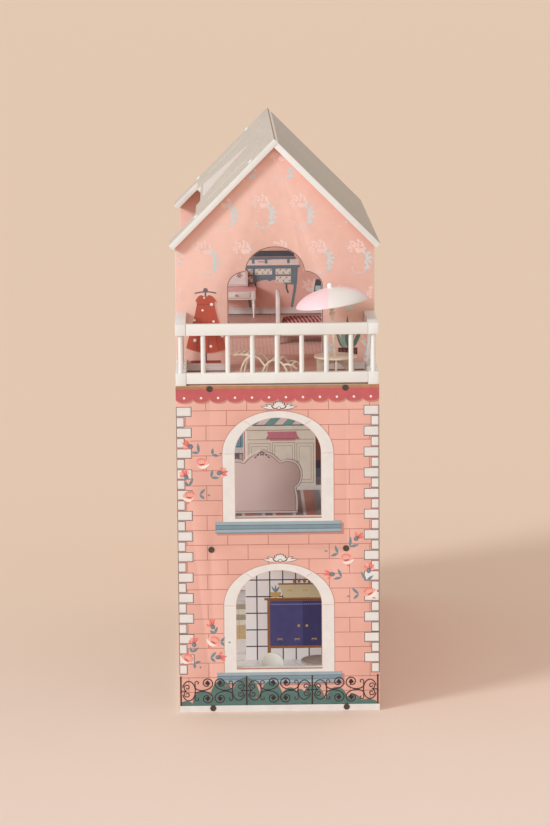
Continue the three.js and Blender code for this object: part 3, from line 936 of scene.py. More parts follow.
# %% Stencils for blossoms
def poppy(art, x, y, turn, size=1.0):
    """A blossom seen from the side: a blue-grey bud holding a fan of coral petals."""
    for spread, length, tint, coat in ((-52, 10, "pale_petal", 6), (50, 10.5, "petal", 6),
                                       (-26, 12.5, "petal", 7),
                                       (27, 13, "pale_petal", 7), (2, 13.5, "petal", 8)):
        art.shape(leaf(x, y, length * size, 4.6 * size, turn + spread, belly=0.66), tint, coat)
    for spread, length in ((-30, 8), (0, 9), (28, 8)):
        art.shape(leaf(x, y, length * size, 1.5 * size, turn + spread, belly=0.3), "deep_petal", 9)
    bud = turned(ellipse(0, 0, 3.9 * size, 3.2 * size, 12), turn, x, y)
    art.shape(bud, "dark_slate", 10)
    art.shape(turned(ellipse(-0.6, 0.4, 2.8 * size, 2.2 * size, 10), turn, x, y), "leaf", 11)


def open_rose(art, x, y, turn=0, mirror=1):
    """A wide blossom: a coral dome of petals over one white petal that curls to the side."""
    def laid(outline):
        return turned([(mirror * a, b) for a, b in outline], turn, x, y)

    art.shape(laid(ellipse(0, 1, 9.8, 6.6)), "pale_petal", 6)
    art.shape(laid(ellipse(-1, 3.8, 7.2, 5.0)), "petal", 7)
    for spread in (35, 62, 90, 118, 145):
        art.shape(laid(leaf(-1, -0.5, 8.4, 2.6, spread, belly=0.62)), "pale_petal", 8)
    art.shape(laid(leaf(-4.5, -1.6, 9, 2.2, 6)), "deep_petal", 9)
    white = smooth([(-8.5, -1.2), (-3.5, -3.8), (3, -2.8), (12, 0.6)])
    white += smooth([(12, 0.6), (7, -5.4), (-1, -7.4), (-8.5, -1.2)])[1:-1]
    art.shape(laid(white), "petal_white", 10)
    art.shape(laid(leaf(-1, -6.4, 8, 2.6, -40)), "petal", 9)


def twig(art, x, y, *leaves):
    """Blue-grey leaves that meet at one foot; each is (direction, length)."""
    for direction, length in leaves:
        art.shape(leaf(x, y, length, 4.2 if length > 7 else 2.4, direction, steps=5), "leaf", 5)


print("stencils for blossoms: poppy, open rose and twig")

# %% [markdown]
# A hedge and a wrought-iron fence run along the foot of the wall. A smith bends scrolls in mirrored
# pairs, so one scroll is drawn as strokes along curls, then mirrored and repeated between the posts.

# %% Stencils for the hedge and the wrought-iron fence
def hedge(art, hills):
    """Overlapping round bushes from the plinth up; each hill is (x, half width, height)."""
    for x, half, height in hills:
        crown = arc(x, 11, half, height - 11, 0, 180, 18)
        art.shape([(min(149, max(-149, a)), b) for a, b in crown], "bush", 6)


def scroll_panel(art, left, right, low=11.5, high=55.5):
    """One bay of the fence: spirals in an oval at each post and leafy curls in the middle, mirrored."""
    middle_height = (low + high) / 2
    for sign, post in ((1, left), (-1, right)):
        for flip in (1, -1):
            def put(points):
                return [(post + sign * a, middle_height + flip * b) for a, b in points]

            art.stroke(put([(0, 0), (9, 0)]), 1.3, "iron", 12)
            art.stroke(put(arc(11.7, 0, 9.8, 15, -2, 158, 16)), 1.4, "iron", 12)
            art.stroke(put(curl(9.4, 5.3, 5.4, 1.2, -100, -540, 20)), 1.2, "iron", 12)
            art.stroke(put([(21.3, 5)] + curl(24.3, 12.2, 3.6, 1.6, 215, -70, 12)), 1.2, "iron", 12)
            art.stroke(put(smooth([(21.4, 4.4), (24.5, 2.2), (30, 0.7), (37, 1.3), (43.6, 4.2),
                                   (47.2, 8.4)])),
                       1.4, "iron", 12)
            art.stroke(put(curl(39.2, 11.5, 8.6, 3.8, -20, 300, 22)), 1.4, "iron", 12)
            art.shape(put(leaf(41.2, 6.8, 9.6, 5.4, 102, belly=0.6)), "iron", 13)
            art.shape(put(ellipse(38.3, 11.6, 2.1, 1.9, 10)), "iron", 13)
            art.shape(put(ellipse(41.6, 11.4, 1.9, 1.9, 10)), "iron", 13)


def fence(art, posts=(-148, -49.6, 48.6, 146.8)):
    for post in posts:
        art.block(post - 1, 11.2, post + 1, 56, "iron", 14)
    for left, right in zip(posts, posts[1:]):
        scroll_panel(art, left, right)


print("stencils for the garden: hedge, scroll panel and fence")

# %% [markdown]
# All the stencils meet on the end wall. They are laid in coats from the back to the front, as a
# printer lays ink: brick, stone, leaves, flowers, and the fence last.

# %% The printed end wall
LEFT_BLOSSOMS = [(-137 + 8, 406, 155), (-86.9, 365.5, 8), (-135.8, 360, 118)]
RIGHT_BLOSSOMS = [(115.2, 264.1, 40), (133.8, 215, 78), (79.3, 210.2, 178)]
LOW_BLOSSOMS = [(-99.3, 132, 108), (-127.4, 104.9, 90), (-92, 85.2, 2)]
ROSES = [(-112.3, 379.4, 0, 1), (-132, 330, 0, -1), (100.9, 232.5, 0, 1), (135.5, 180.9, 24, 1),
         (-98.3, 109, -24, -1), (-138.5, 82.5, -28, -1)]
TWIGS = [
    (-116.8, 396, (96, 15), (176, 11)), (-97, 393, (86, 10), (-12, 10)),
    (-99.1, 358.7, (80, 12.5), (-4, 12.5)),
    (-131.7, 346.4, (142, 9.5), (62, 13)), (-116.4, 333, (47, 12.5), (-42, 9.7)),
    (105.5, 251.4, (84, 16), (14, 14.5)),
    (88, 241.8, (110, 13), (201, 12)), (130.4, 199.2, (121, 17), (40, 13.5)),
    (93.3, 205.4, (113, 14.5), (193, 13)),
    (118.5, 179.4, (136, 14), (225, 11)), (-97, 121.2, (142, 8.5), (66, 12)),
    (-130.7, 93, (109, 8.5), (36, 13)),
    (-87.7, 108.6, (47, 9.5), (-45, 8.8)), (-103.2, 83.9, (48, 13), (-37, 9.5)),
    (-127, 76, (20, 10), (-88, 8)),
]
STRAYS = [(-87, 394.5, 4, 5), (-105, 333, -22, 5), (73, 245.7, 182, 5.5), (105, 177.3, 208, 5),
          (-76.4, 108.6, -22, 4.5), (-119.4, 71.5, -58, 4)]


def printed_end_wall():
    wall = Print("balcony_end_print", (0, FRONT, 0), (1, 0, 0))
    wall.block(-EDGE, 491.6, EDGE, DECK - 0.1, RAW_BOARD, 4)
    valance(wall)
    for sign in (-1, 1):
        quoins(wall, sign)
    for bottom in WINDOW_BOTTOMS:
        surround(wall, bottom)
        sill(wall, bottom)
        shell(wall, 2, bottom + WINDOW["jamb"] + SURROUND["rise"] + 6)
    for x, y, direction in LEFT_BLOSSOMS + RIGHT_BLOSSOMS + LOW_BLOSSOMS:
        poppy(wall, x, y, direction)
    for x, y, direction, mirror in ROSES:
        open_rose(wall, x, y, direction, mirror)
    for x, y, *leaves in TWIGS:
        twig(wall, x, y, *leaves)
    for x, y, direction, length in STRAYS:
        twig(wall, x, y, (direction, length))
    hedge(wall, [(-140, 10, 18), (-115, 16, 33.5), (-87, 19, 50), (-51, 23, 54), (-13, 19, 48), (0, 90, 27),
                 (15.5, 15, 37.5), (30, 11, 35), (50, 18, 41), (85.5, 17, 37.5), (110, 13, 26),
                 (131, 16, 18)])
    for x, y in ((-80, 41), (-101, 24), (-35, 22.5), (62, 25.5), (115, 20.5), (-46, 47)):
        wall.shape(ellipse(x, y, 1.5, 1.5, 8), "berry", 8)
    wall.block(-EDGE, 0.4, EDGE, 10.6, "white", 5)
    wall.block(-EDGE, 10.6, EDGE, 11.4, "outline", 6)
    fence(wall)
    return wall.done()


printed_end_wall()
print("printed on the end wall:", len(STRAYS), "stray twigs among the flowers")

# %% [markdown]
# The attic is papered in salmon with pale sprigs, outside and in. One sprig is a clump of petals, a
# trail of leaves and a curl. The paper repeats it in staggered rows. Each wall tells the print which
# points lie on it, so that a sprig is cut off at a board's edge leaf by leaf.

# %% Floral paper
mix_inks(
    sprig_blush=(240, 184, 168), sprig=(243, 202, 190), sprig_leaf=(204, 208, 206),
    skirting=(222, 205, 197), skirting_line=(120, 86, 80), door_edge=(120, 72, 60),
)
SPRIG = {"across": 57.4, "down": 69.6, "x": -20, "z": 754.5}
EAVE_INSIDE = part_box("attic_back_panel")[1].z / MM
DOOR = {"half": 70.5, "spring": 625, "shoulder": 27, "crown_half": 43.5, "crown_spring": 647, "crown": 684}


GOLDEN_ANGLE = 137.5


def sprig(art, x, y):
    art.shape(leaf(x - 8.5, y - 2, 17, 11, 12), "sprig_blush", 0)
    for i in range(26):
        foot = turned([(2.1 * math.sqrt(i), 0)], GOLDEN_ANGLE * i, x, y - 2)[0]
        way = 60 + 4.5 * (x - foot[0]) + 70 * math.sin(i * 2.3)
        art.shape(leaf(foot[0], foot[1], 5.6, 3.2, way, steps=3), "sprig", 1)
    trail = smooth([(5, -4), (12, -9), (18, -15), (19, -22), (16, -29)], 4)
    art.stroke([(x + a, y + b) for a, b in trail], 0.6, "sprig", 1)
    for i, (a, b) in enumerate(trail[3::3]):
        for side in (60, -60):
            art.shape(leaf(x + a, y + b, 6.6, 4.2, side - 40 * i, steps=4), "sprig_leaf", 2)
    hook = smooth([(-7, -35), (-3, -40), (4, -42), (11, -39), (17, -33)], 4)
    art.stroke([(x + a, y + b) for a, b in hook], 0.9, "sprig_leaf", 1)
    for direction, length in ((35, 7.0), (80, 6.0), (150, 5.0)):
        art.shape(leaf(x + 15, y - 35, length, 3.6, direction, steps=4), "sprig_leaf", 2)
    for a, b in ((-7, -33), (3, -40), (-3, -16), (-9, -9)):
        art.shape(ellipse(x + a, y + b, 1.3, 1.3, 7), "sprig", 2)


def sprigs(art, left, right, low, high, inside):
    """Rows of sprigs over a region; only what inside() allows is printed."""
    art.inside = inside
    rows = range(math.floor((low - SPRIG["z"]) / SPRIG["down"]),
                 math.ceil((high - SPRIG["z"]) / SPRIG["down"]) + 1)
    for row in rows:
        start = SPRIG["x"] + (row % 2) * SPRIG["across"] / 2
        first = math.floor((left - start) / SPRIG["across"])
        last = math.ceil((right - start) / SPRIG["across"])
        for column in range(first, last + 1):
            sprig(art, start + column * SPRIG["across"], SPRIG["z"] + row * SPRIG["down"])
    art.inside = None


def in_gable(a, b, margin=1.5):
    return abs(a) < HALF - margin and b > DECK + 1 and b < EAVE_INSIDE + HALF - abs(a) - 1.5 * margin


def in_door(a, b, grow=0.0):
    """Inside the clover doorway, or within grow of it."""
    a = abs(a)
    if b < DOOR["spring"]:
        return a < DOOR["half"] + grow
    shoulder = DOOR["half"] - DOOR["shoulder"]
    rise = DOOR["crown_spring"] - DOOR["spring"] + grow
    across = (a - shoulder) / (DOOR["shoulder"] + grow)
    if a > shoulder and across ** 2 + ((b - DOOR["spring"]) / rise) ** 2 < 1:
        return True
    if a < shoulder and b < DOOR["crown_spring"]:
        return True
    top = DOOR["crown"] - DOOR["crown_spring"] + grow
    return (a / (DOOR["crown_half"] + grow)) ** 2 + ((b - DOOR["crown_spring"]) / top) ** 2 < 1


def door_line(grow):
    """The clover doorway's outline from its right foot over the crown to its left foot."""
    shoulder = DOOR["half"] - DOOR["shoulder"]
    rise = DOOR["crown_spring"] - DOOR["spring"]
    right = [(DOOR["half"] + grow, DECK)]
    right += arc(shoulder, DOOR["spring"], DOOR["shoulder"] + grow, rise + grow, 0, 84, 10)
    right += arc(0, DOOR["crown_spring"], DOOR["crown_half"] + grow,
                 DOOR["crown"] - DOOR["crown_spring"] + grow, 2, 90, 14)
    return right + [(-a, b) for a, b in reversed(right[:-1])]


def skirting(art, left, right, foot, height=11):
    art.block(left, foot + 1, right, foot + height, "skirting", 4)
    art.block(left, foot + 0.2, right, foot + 1.6, "skirting_line", 5)
    art.block(left, foot + height - 3, right, foot + height - 2.4, "stone_line", 5)


mix_inks(stone_line=(196, 170, 162))
print("one sprig repeats every", SPRIG["down"], "mm down the paper")

# %% [markdown]
# On the door gable a dress on its stand is printed at the left and a potted plant at the right.

# %% Dress, stand and plant
mix_inks(
    dress=(190, 82, 62, 0.05), dress_dark=(156, 62, 52), stand=(118, 98, 100), paper_shadow=(218, 152, 134),
    pot=(86, 42, 44), pot_band=(150, 152, 178), blade=(88, 108, 92, 0.1), blade_light=(140, 152, 134, 0.1),
)


def dress(art):
    art.stroke([(-105, 618), (-105, 512)], 2.6, "stand", 3)
    art.shape(ellipse(-104.8, 619.8, 3.6, 3.8), "stand", 4)
    art.stroke(smooth([(-121, 615.5), (-112, 617.2), (-104.8, 617.8), (-97, 617.2), (-88.6, 615.5)]), 2.0,
               "stand", 4)
    art.block(-128, 509, -82.6, 513, "dress_dark", 5)
    body = smooth([(-115.6, 610.8), (-111, 612.6), (-105, 609.6), (-99.4, 612.6), (-94.6, 610.6)], 4)
    body += smooth([(-90.2, 605.4), (-89.6, 603), (-91.6, 598.6), (-87, 578), (-79.6, 552), (-75.2, 530)],
                   4)
    body += smooth([(-77.5, 528.6), (-92, 525), (-108, 524.6), (-122, 527.6), (-135, 532)], 4)
    body += smooth([(-130, 552), (-122.6, 578), (-118.2, 599), (-119.8, 603.6), (-119.4, 606)], 4)
    art.shape([(a + 3, b - 1.5) for a, b in body], "paper_shadow", 2)
    art.shape(body, "dress", 6)
    for foot, head in (((-119, 530), (-111, 590)), ((-101, 526.5), (-103, 586)), ((-86, 529), (-96, 588))):
        art.stroke([foot, head], 1.4, "dress_dark", 7, taper=0.9)
    art.stroke([(-118, 598.6), (-91.8, 598.6)], 1.0, "dress_dark", 7)
    for a, b, r in ((-107, 608.5, 1.4), (-96, 598.4, 2.4), (-109.6, 589.6, 1.8), (-122, 574.8, 1.9),
                    (-93.2, 572.4, 1.9),
                    (-80.3, 550, 2.2), (-121.8, 544, 2.6), (-97.8, 534.5, 2.2), (-104, 556, 2.0)):
        art.shape(ellipse(a, b, r, r, 10), "petal_white", 8)


def potted_plant(art):
    for foot, direction, length, width, tint in (
            (103, 112, 34, 6, "blade"), (106, 101, 44, 6.5, "blade_light"), (109, 90, 52, 7.5, "blade"),
            (112, 79, 44, 6.5, "blade_light"), (116, 66, 40, 6.5, "blade"),
            (107, 120, 26, 5, "blade_light"), (113, 60, 28, 5, "blade")):
        art.shape(leaf(foot, 528, length, width, direction, belly=0.35), tint, 4)
    art.shape([(99, 520), (120, 520), (117.6, 501), (101.6, 501)], "pot_band", 5)
    art.block(100.6, 507, 118.6, 509.4, "petal_white", 6)
    art.block(95, 520, 123.8, 530.4, "pot", 7)
    for a in (99, 104.5, 110, 115.5, 120.5):
        art.shape(ellipse(a, 525.2, 1.8, 3.2, 10), "door_edge", 8)


def door_gable_print():
    wall = Print("attic_door_gable_print", (0, GABLE, 0), (1, 0, 0))
    covered = [(-139, 505, -70, 628), (92, 500, 127, 584)]

    def inside(a, b):
        hidden = any(left < a < right and low < b < high for left, low, right, high in covered)
        return in_gable(a, b) and not in_door(a, b, 2) and not hidden and b > DECK + 12

    sprigs(wall, -HALF, HALF, DECK, EAVE_INSIDE + HALF, inside)
    wall.ring([(DOOR["half"] + 1.4, DECK + 0.2)] + door_line(1.3)[1:-1] + [(-DOOR["half"] - 1.4, DECK + 0.2)],
              [(DOOR["half"] + 0.4, DECK + 0.2)] + door_line(0.4)[1:-1] + [(-DOOR["half"] - 0.4, DECK + 0.2)],
              "door_edge", 9)
    for left, right in ((-SKIRTING_END, -DOOR["half"] - 1.6), (DOOR["half"] + 1.6, SKIRTING_END)):
        skirting(wall, left, right, DECK)
    dress(wall)
    potted_plant(wall)
    return wall.done()


door_gable_print()

# %% [markdown]
# Indoors the attic's walls carry the same paper. A blue-grey writing desk is printed on the far gable,
# where the doorway shows it, and framed landscapes and windows are printed on the long back wall.

# %% Attic walls indoors
mix_inks(
    desk=(118, 130, 136, 0.06), desk_dark=(84, 84, 90), desk_pale=(240, 214, 200),
    desk_drawer=(238, 220, 204), pink=(216, 142, 140), sky=(188, 204, 208), gold=(196, 150, 84),
    navy=(74, 66, 112, 0.1), teal=(122, 158, 150, 0.06), cream=(232, 212, 192), cream_line=(178, 150, 132),
    hood=(206, 122, 130, 0.06), hood_line=(150, 76, 84),
)


def flowered(art, left, low, right, high, coat):
    """A small drawer front with leaves painted on it."""
    art.block(left, low, right, high, "desk_drawer", coat)
    count = max(2, round((right - left) / 5))
    for i in range(count):
        x = left + (i + 0.5) * (right - left) / count
        y = (low + high) / 2 + (1.6 if i % 2 else -1.6)
        art.shape(leaf(x - 1.5, y, 4.6, 2.0, 40 if i % 2 else -30, steps=3), "desk", coat + 1)
        art.shape(ellipse(x + 1.2, y + 1.4, 0.9, 0.9, 6), "pink", coat + 1)


def desk(art, left=-38, right=52, foot=509):
    """A writing desk: shelf, two rows of drawers, scalloped apron and curved legs."""
    art.block(left + 4, 596, right - 8, 606, "desk_dark", 3)
    art.block(left - 2, 590.5, right - 6, 595.5, "desk", 4)
    art.block(left - 2, 581, right, 591, "desk_pale", 4)
    for x in (left + 12, left + 34, right - 18):
        art.block(x - 2.2, 584, x + 2.2, 593, "desk", 5)
    art.block(left + 20, 586, left + 32, 588, "pink", 5)
    art.block(left - 3, 576.5, right + 1, 581, "desk", 5)
    apron = [(left, 577), (left, 550)] + smooth([(left + 14, 549), (left + 22, 554), (left + 34, 556),
                                                 (left + 40, 553.4),
                                                (left + 46, 556), (left + 58, 553), (left + 66, 548.4)], 4)
    apron += [(right - 4, 547), (right - 2, 577)]
    art.shape(apron, "desk", 6)
    for start, low, end, high in ((left + 2, 565, left + 11, 575), (left + 15, 565, left + 44, 575),
                                  (left + 50, 565, right - 14, 575), (left + 2, 552, left + 11, 562),
                                  (left + 50, 551, right - 14, 562)):
        flowered(art, start, low, end, high, 7)
    for x, side in ((right - 9, 1), (left + 3, -1)):
        art.stroke(smooth([(x, 560), (x + side * 2, 545), (x - side, 525), (x - side * 3.4, foot + 2),
                           (x - side * 4.6, foot)]),
                   5.2, "desk", 6, taper=0.3)
        art.stroke(smooth([(x - side * 12, 552), (x - side * 12.6, 542), (x - side * 9.6, 533)]), 3.2,
                   "desk_dark", 5, taper=0.3)


def framed_picture(art, x, y, width, height):
    art.block(x - width / 2, y - height / 2, x + width / 2, y + height / 2, "gold", 4)
    art.block(x - width / 2 + 3, y - height / 2 + 3, x + width / 2 - 3, y + height / 2 - 3, "cream", 5)
    hill = [(x - width / 2 + 5, y - height / 2 + 5), (x + width / 2 - 5, y - height / 2 + 5),
            (x + width / 2 - 5, y - 2)]
    hill += smooth([(x + width / 6, y + 3), (x, y - 3), (x - width / 4, y + 4), (x - width / 2 + 5, y - 1)],
                   4)
    art.shape(hill, "teal", 6)
    art.shape(ellipse(x + width / 5, y + height / 5, 4, 4), "pink", 6)


def printed_window(art, x, low, width, height):
    """A painted window: frame, panes of pale sky, a curtain at each side."""
    left, right, top = x - width / 2, x + width / 2, low + height
    art.block(left - 5, low - 5, right + 5, top + 5, "skirting", 3)
    art.block(left, low, right, top, "sky", 4)
    art.block(x - 1.5, low, x + 1.5, top, "skirting", 5)
    art.block(left, low + height / 2 - 1.2, right, low + height / 2 + 1.2, "skirting", 5)
    for sign, edge in ((1, left), (-1, right)):
        drape = smooth([(edge + sign * 20, top + 8), (edge + sign * 15, top - 20),
                        (edge + sign * 6, low + height * 0.45),
                        (edge + sign * 3, low + 8), (edge + sign * 5, low - 8)], 4)
        art.shape(drape + [(edge - sign * 8, low - 8), (edge - sign * 8, top + 8)], "pink", 6)
    art.block(left - 12, top + 6, right + 12, top + 10, "gold", 7)


def far_gable_print():
    wall = Print("attic_far_gable_inside_print", (0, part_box("attic_far_gable")[0].y / MM, 0), (1, 0, 0))

    def inside(a, b):
        return in_gable(a, b, 3) and abs(a) < 140 and not (-44 < a < 56 and 505 < b < 610) and b > DECK + 13

    sprigs(wall, -HALF, HALF, DECK, EAVE_INSIDE + HALF, inside)
    skirting(wall, -SKIRTING_END, 140.6, DECK, 12)
    desk(wall)
    wall.shape([(77, 533), (91, 533), (91, 556), (79, 556)], "desk_dark", 3)
    wall.shape([(79, 537), (89, 537), (89, 545), (80, 545)], "sky", 4)
    wall.shape([(73, 533), (76.4, 533), (80.4, 557), (77, 557)], "cream", 5)
    return wall.done()


def gable_paper(name, y, facing):
    """The plain floral side of a gable; facing is -1 towards the balcony and 1 away from it."""
    wall = Print(name, (0, y, 0), (-facing, 0, 0))
    sprigs(wall, -HALF, HALF, DECK, EAVE_INSIDE + HALF,
           lambda a, b: in_gable(a, b) and not (name.startswith("attic_door") and in_door(a, b, 2)))
    return wall.done()


def long_attic_print(name, x, facing):
    """The attic's long wall; facing is -1 for its inside and 1 for its outside."""
    low, high = [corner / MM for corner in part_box("attic_back_panel")]
    wall = Print(name, (x, 0, 0), (0, facing, 0))
    near, far = sorted((low.y * facing, high.y * facing))
    fixtures = [(near + 200, 540, 80, 96), (near + 420, 540, 80, 96)] if facing < 0 else []

    def inside(a, b):
        clear = all(abs(a - x0) > width / 2 + 14 or b < y0 - 14 or b > y0 + height + 14
                    for x0, y0, width, height in fixtures)
        return near + 2 < a < far - 2 and low.z + 14 < b < high.z - 2 and clear

    sprigs(wall, near, far, low.z, high.z, inside)
    skirting(wall, near + 0.6, far - 0.6, low.z, 12)
    for x0, y0, width, height in fixtures:
        printed_window(wall, x0, y0, width, height)
    if fixtures:
        framed_picture(wall, near + 310, 610, 52, 40)
        framed_picture(wall, near + 90, 604, 44, 56)
    return wall.done()


far_gable_print()
gable_paper("attic_far_gable_outside_print", FAR, 1)
gable_paper("attic_door_gable_inside_print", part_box("attic_door_gable")[1].y / MM, 1)
attic_back = [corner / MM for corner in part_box("attic_back_panel")]
long_attic_print("attic_back_inside_print", attic_back[0].x, -1)
long_attic_print("attic_back_outside_print", attic_back[1].x, 1)

# %% [markdown]
# The middle storey's partition shows a cream dresser under a striped awning, with a rose hood. On the
# ground floor a navy cabinet stands on the tiled wall with a tray above it.

# %% Middle and ground partitions
def middle_partition_print():
    low, high = [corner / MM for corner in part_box("middle_partition")]
    wall = Print("middle_partition_print", (0, low.y, 0), (1, 0, 0))
    floor, ceiling = low.z, high.z
    art_left, art_right = low.x + 5.4, 68.5
    wall.block(low.x + 0.6, floor + 0.5, low.x + 2.4, ceiling - 6, "pink", 2)
    wall.block(art_right, 303, art_right + 14, 400, "door_edge", 2)
    for foot, top, colour in ((floor + 8.5, 276, "stand"), (276, 290, "desk_dark"), (290, 303, "outline")):
        wall.block(art_right, foot, art_right + 14, top, colour, 2)
    wall.block(art_left, floor + 8.5, art_right, 359, "cream", 3)
    wall.block(art_left - 1, 352.5, art_right + 1, 359, "cream_line", 4)
    wall.block(art_left - 1.6, 354, art_right + 1.6, 359.6, "cream", 5)
    wall.block(art_left + 2, 337.4, art_right - 2, 338.4, "cream_line", 5)
    hood = [(-9.6, 351), (37.2, 351), (38.6, 345), (42.6, 339.6), (36, 339.6), (36, 336), (-5, 336),
            (-5, 339.6),
            (-11.5, 339.6), (-8.4, 345)]
    wall.shape(hood, "hood", 10)
    wall.shape([(-11.5, 339.6), (42.6, 339.6), (42, 338.8), (-11, 338.8)], "hood_line", 11)
    panels = [(art_left + 3, -4.6, 266, 332), (-1.8, 35.3, 266, 333), (37.8, art_right - 3, 266, 332)]
    for left, right, foot, top in panels:
        wall.block(left, foot, right, top, "cream_line", 6)
        wall.block(left + 0.9, foot + 0.9, right - 0.9, top - 0.9, "cream", 7)
        wall.block(left + 4, foot + 5, right - 4, top - 5, "cream_line", 8)
        wall.block(left + 4.7, foot + 5.7, right - 4.7, top - 5.7, "cream", 9)
    for x in (-6.4, 33, 40):
        wall.shape(ellipse(x, 302, 1.3, 1.3, 8), "gold", 10)
    wall.block(low.x + 2.6, floor + 0.8, 138, floor + 8, "skirting", 4)
    wall.block(-34, 362, 68, 385, "teal", 9)
    wall.block(-34, 360.4, 68, 362, "dark_slate", 10)
    for i in range(3):
        foot = -27 + 29 * i
        wall.shape([(foot, 362.4), (foot + 13, 362.4), (foot + 33, 383), (foot + 20, 383)], "blush", 10)
    wall.block(-38, 384.6, 68, 387, "dark_slate", 11)
    for x, y, width, height in ((105, 360, 44, 60), (20, 430, 60, 44), (-24, 430, 18, 26)):
        framed_picture(wall, x, y, width, height)
    return wall.done()


def ground_rug_print():
    """A striped rug printed on the ground floor, in the back room."""
    rug = Print("ground_rug_print", (0, 0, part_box("ground_floor_panel")[1].z / MM), (1, 0, 0), (0, 1, 0))
    bands = [(21, 116, "tan_band"), (116, 151, "cream"), (151, 189, "olive_band"), (189, 227, "cream"),
             (227, 263, "olive_band")]
    for near, far, colour in bands:
        rug.block(-118, near, 62, far, colour, 1)
    for i in range(15):
        rug.block(-118 + 12 * i, 21, -117.2 + 12 * i, 263, "cream_line", 2)
    return rug.done()


def curl_motif(art, x, y, coat):
    """A small gilt flourish."""
    for sign in (-1, 1):
        art.stroke([(x + sign * a, y + b) for a, b in curl(2.6, 0, 2.4, 0.7, 180, -150, 12)], 0.6, "gold",
                   coat)
        art.shape(leaf(x, y, 4.2, 1.4, 90 + sign * 60, steps=3), "gold", coat)


def ground_partition_print():
    low, high = [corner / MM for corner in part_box("ground_partition")]
    wall = Print("ground_partition_print", (0, low.y, 0), (1, 0, 0))
    wall.block(-14, 30, 96, 111, "gold_frame", 3)
    wall.block(-18.4, 108.6, 100, 112, "gold_frame", 5)
    wall.block(-18.4, 108.2, 100, 109, "iron", 6)
    for foot in (-14, 90):
        wall.block(foot, 13, foot + 5, 32, "gold_frame", 4)
    for left, right in ((-9.6, 42), (42, 92)):
        wall.block(left, 34, right, 107, "navy" if left < 0 else "dark_navy", 5)
        for i in range(int((right - left) / 3.2)):
            wall.shape(arc(left + 3 + 3.2 * i, 102, 1.5, 1.7, 180, 360, 5), "navy_light", 8)
    for x in (5.8, 33, 60):
        curl_motif(wall, x, 44, 8)
    for x in (35.6, 48.4):
        wall.shape(ellipse(x, 66.4, 2.2, 2.2), "gold", 9)
    wall.shape([(4.4, 134), (90, 134), (86, 112.2), (12, 112.2)], "tray", 5)
    wall.block(3.4, 133, 92, 135.4, "gold_frame", 6)
    for x in (22, 46, 70):
        curl_motif(wall, x, 123, 7)
    for i, x in enumerate((28, 36, 45, 54, 62)):
        wall.shape(leaf(x, 135.4, 8, 5, 70 + 10 * i, steps=4), "gold_frame", 4)
    wall.shape(arc(-0.6, 121, 8.6, 8.6, 180, 360, 12), "gold", 6)
    for direction in (60, 90, 120):
        wall.shape(leaf(-0.6, 120, 13, 3, direction), "leaf", 5)
    return wall.done()


mix_inks(
    gold_frame=(150, 96, 56, 0.1), navy_light=(140, 132, 168), dark_navy=(60, 52, 94, 0.1),
    tray=(204, 178, 140), tan_band=(206, 168, 118, 0.1), olive_band=(158, 140, 114, 0.1),
    blush=(238, 204, 196), far_teal=(136, 162, 166, 0.06),
)
middle_partition_print()
ground_partition_print()
ground_rug_print()

# %% [markdown]
# Seen from the open side, the long walls and the partitions' backs complete the rooms with printed
# windows, framed pictures and a wardrobe. These sides are made up to match the rest. A rug is
# printed on the attic floor.

# %% The long walls, the partitions' backs and the rug
def room_wall(name, node, side, windows=(), pictures=(), floors=(0, 1), wardrobes=()):
    """Skirting, windows and pictures on one side of a board; side is the direction that it faces."""
    low, high = [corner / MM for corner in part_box(node)]
    facing = Vector(side)
    right = UP.cross(facing)
    origin = [high[i] if facing[i] > 0 else low[i] for i in range(3)]
    wall = Print(name, (origin[0] * abs(facing.x), origin[1] * abs(facing.y), 0), right)
    ends = sorted((right.dot(low), right.dot(high)))
    storeys = [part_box(name)[1].z / MM for name in ("ground_floor_panel", "middle_floor_panel")]
    for left, low_z, right_, high_z in wardrobes:
        wall.block(ends[0] + left, low_z, ends[0] + right_, high_z, "far_teal", 4)
        wall.ring(rectangle(ends[0] + left + 6, low_z + 8, ends[0] + right_ - 6, high_z - 6),
                  rectangle(ends[0] + left + 7.2, low_z + 9.2, ends[0] + right_ - 7.2, high_z - 7.2),
                  "dark_slate", 5)
    for storey in floors:
        skirting(wall, ends[0] + 0.8, ends[1] - 0.8, storeys[storey])
    for along, lift, width, height in windows:
        printed_window(wall, ends[0] + along, lift, width, height)
    for along, lift, width, height in pictures:
        framed_picture(wall, ends[0] + along, lift, width, height)
    return wall.done()


room_wall("back_wall_rooms_print", "back_panel", (-1, 0, 0),
          windows=[(110, 330, 84, 100), (560, 330, 84, 100), (110, 90, 84, 90), (600, 90, 84, 90)],
          pictures=[(230, 380, 60, 50), (430, 390, 70, 56), (250, 150, 50, 60), (470, 150, 70, 50)])
room_wall("far_wall_rooms_print", "far_end_wall", (0, -1, 0),
          windows=[(220, 330, 70, 100)], pictures=[(210, 150, 64, 50)], wardrobes=[(4, 258, 106, 440)])
room_wall("end_wall_rooms_print", "balcony_end_wall", (0, 1, 0))
room_wall("ground_partition_back_print", "ground_partition", (0, 1, 0), pictures=[(90, 150, 60, 70)],
          floors=(0,))
room_wall("middle_partition_back_print", "middle_partition", (0, 1, 0), pictures=[(100, 390, 70, 60)],
          floors=(1,))


def rug_print():
    rug = Print("attic_rug_print", (0, 0, DECK), (1, 0, 0), (0, 1, 0))
    near, far = GABLE + 153, GABLE + 341
    rug.block(-74, near, 100, far, "rug_edge", 1)
    rug.block(-71, near + 3, 97, far - 3, "rug", 2)
    for i in range(28):
        x = -70 + 6 * i
        rug.block(x, near + 3.4, x + 1.1, far - 3.4, "rug_line", 3)
    return rug.done()


mix_inks(
    rug=(226, 176, 160, 0.07), rug_line=(206, 150, 136, 0.1), rug_edge=(176, 120, 108),
)
rug_print()


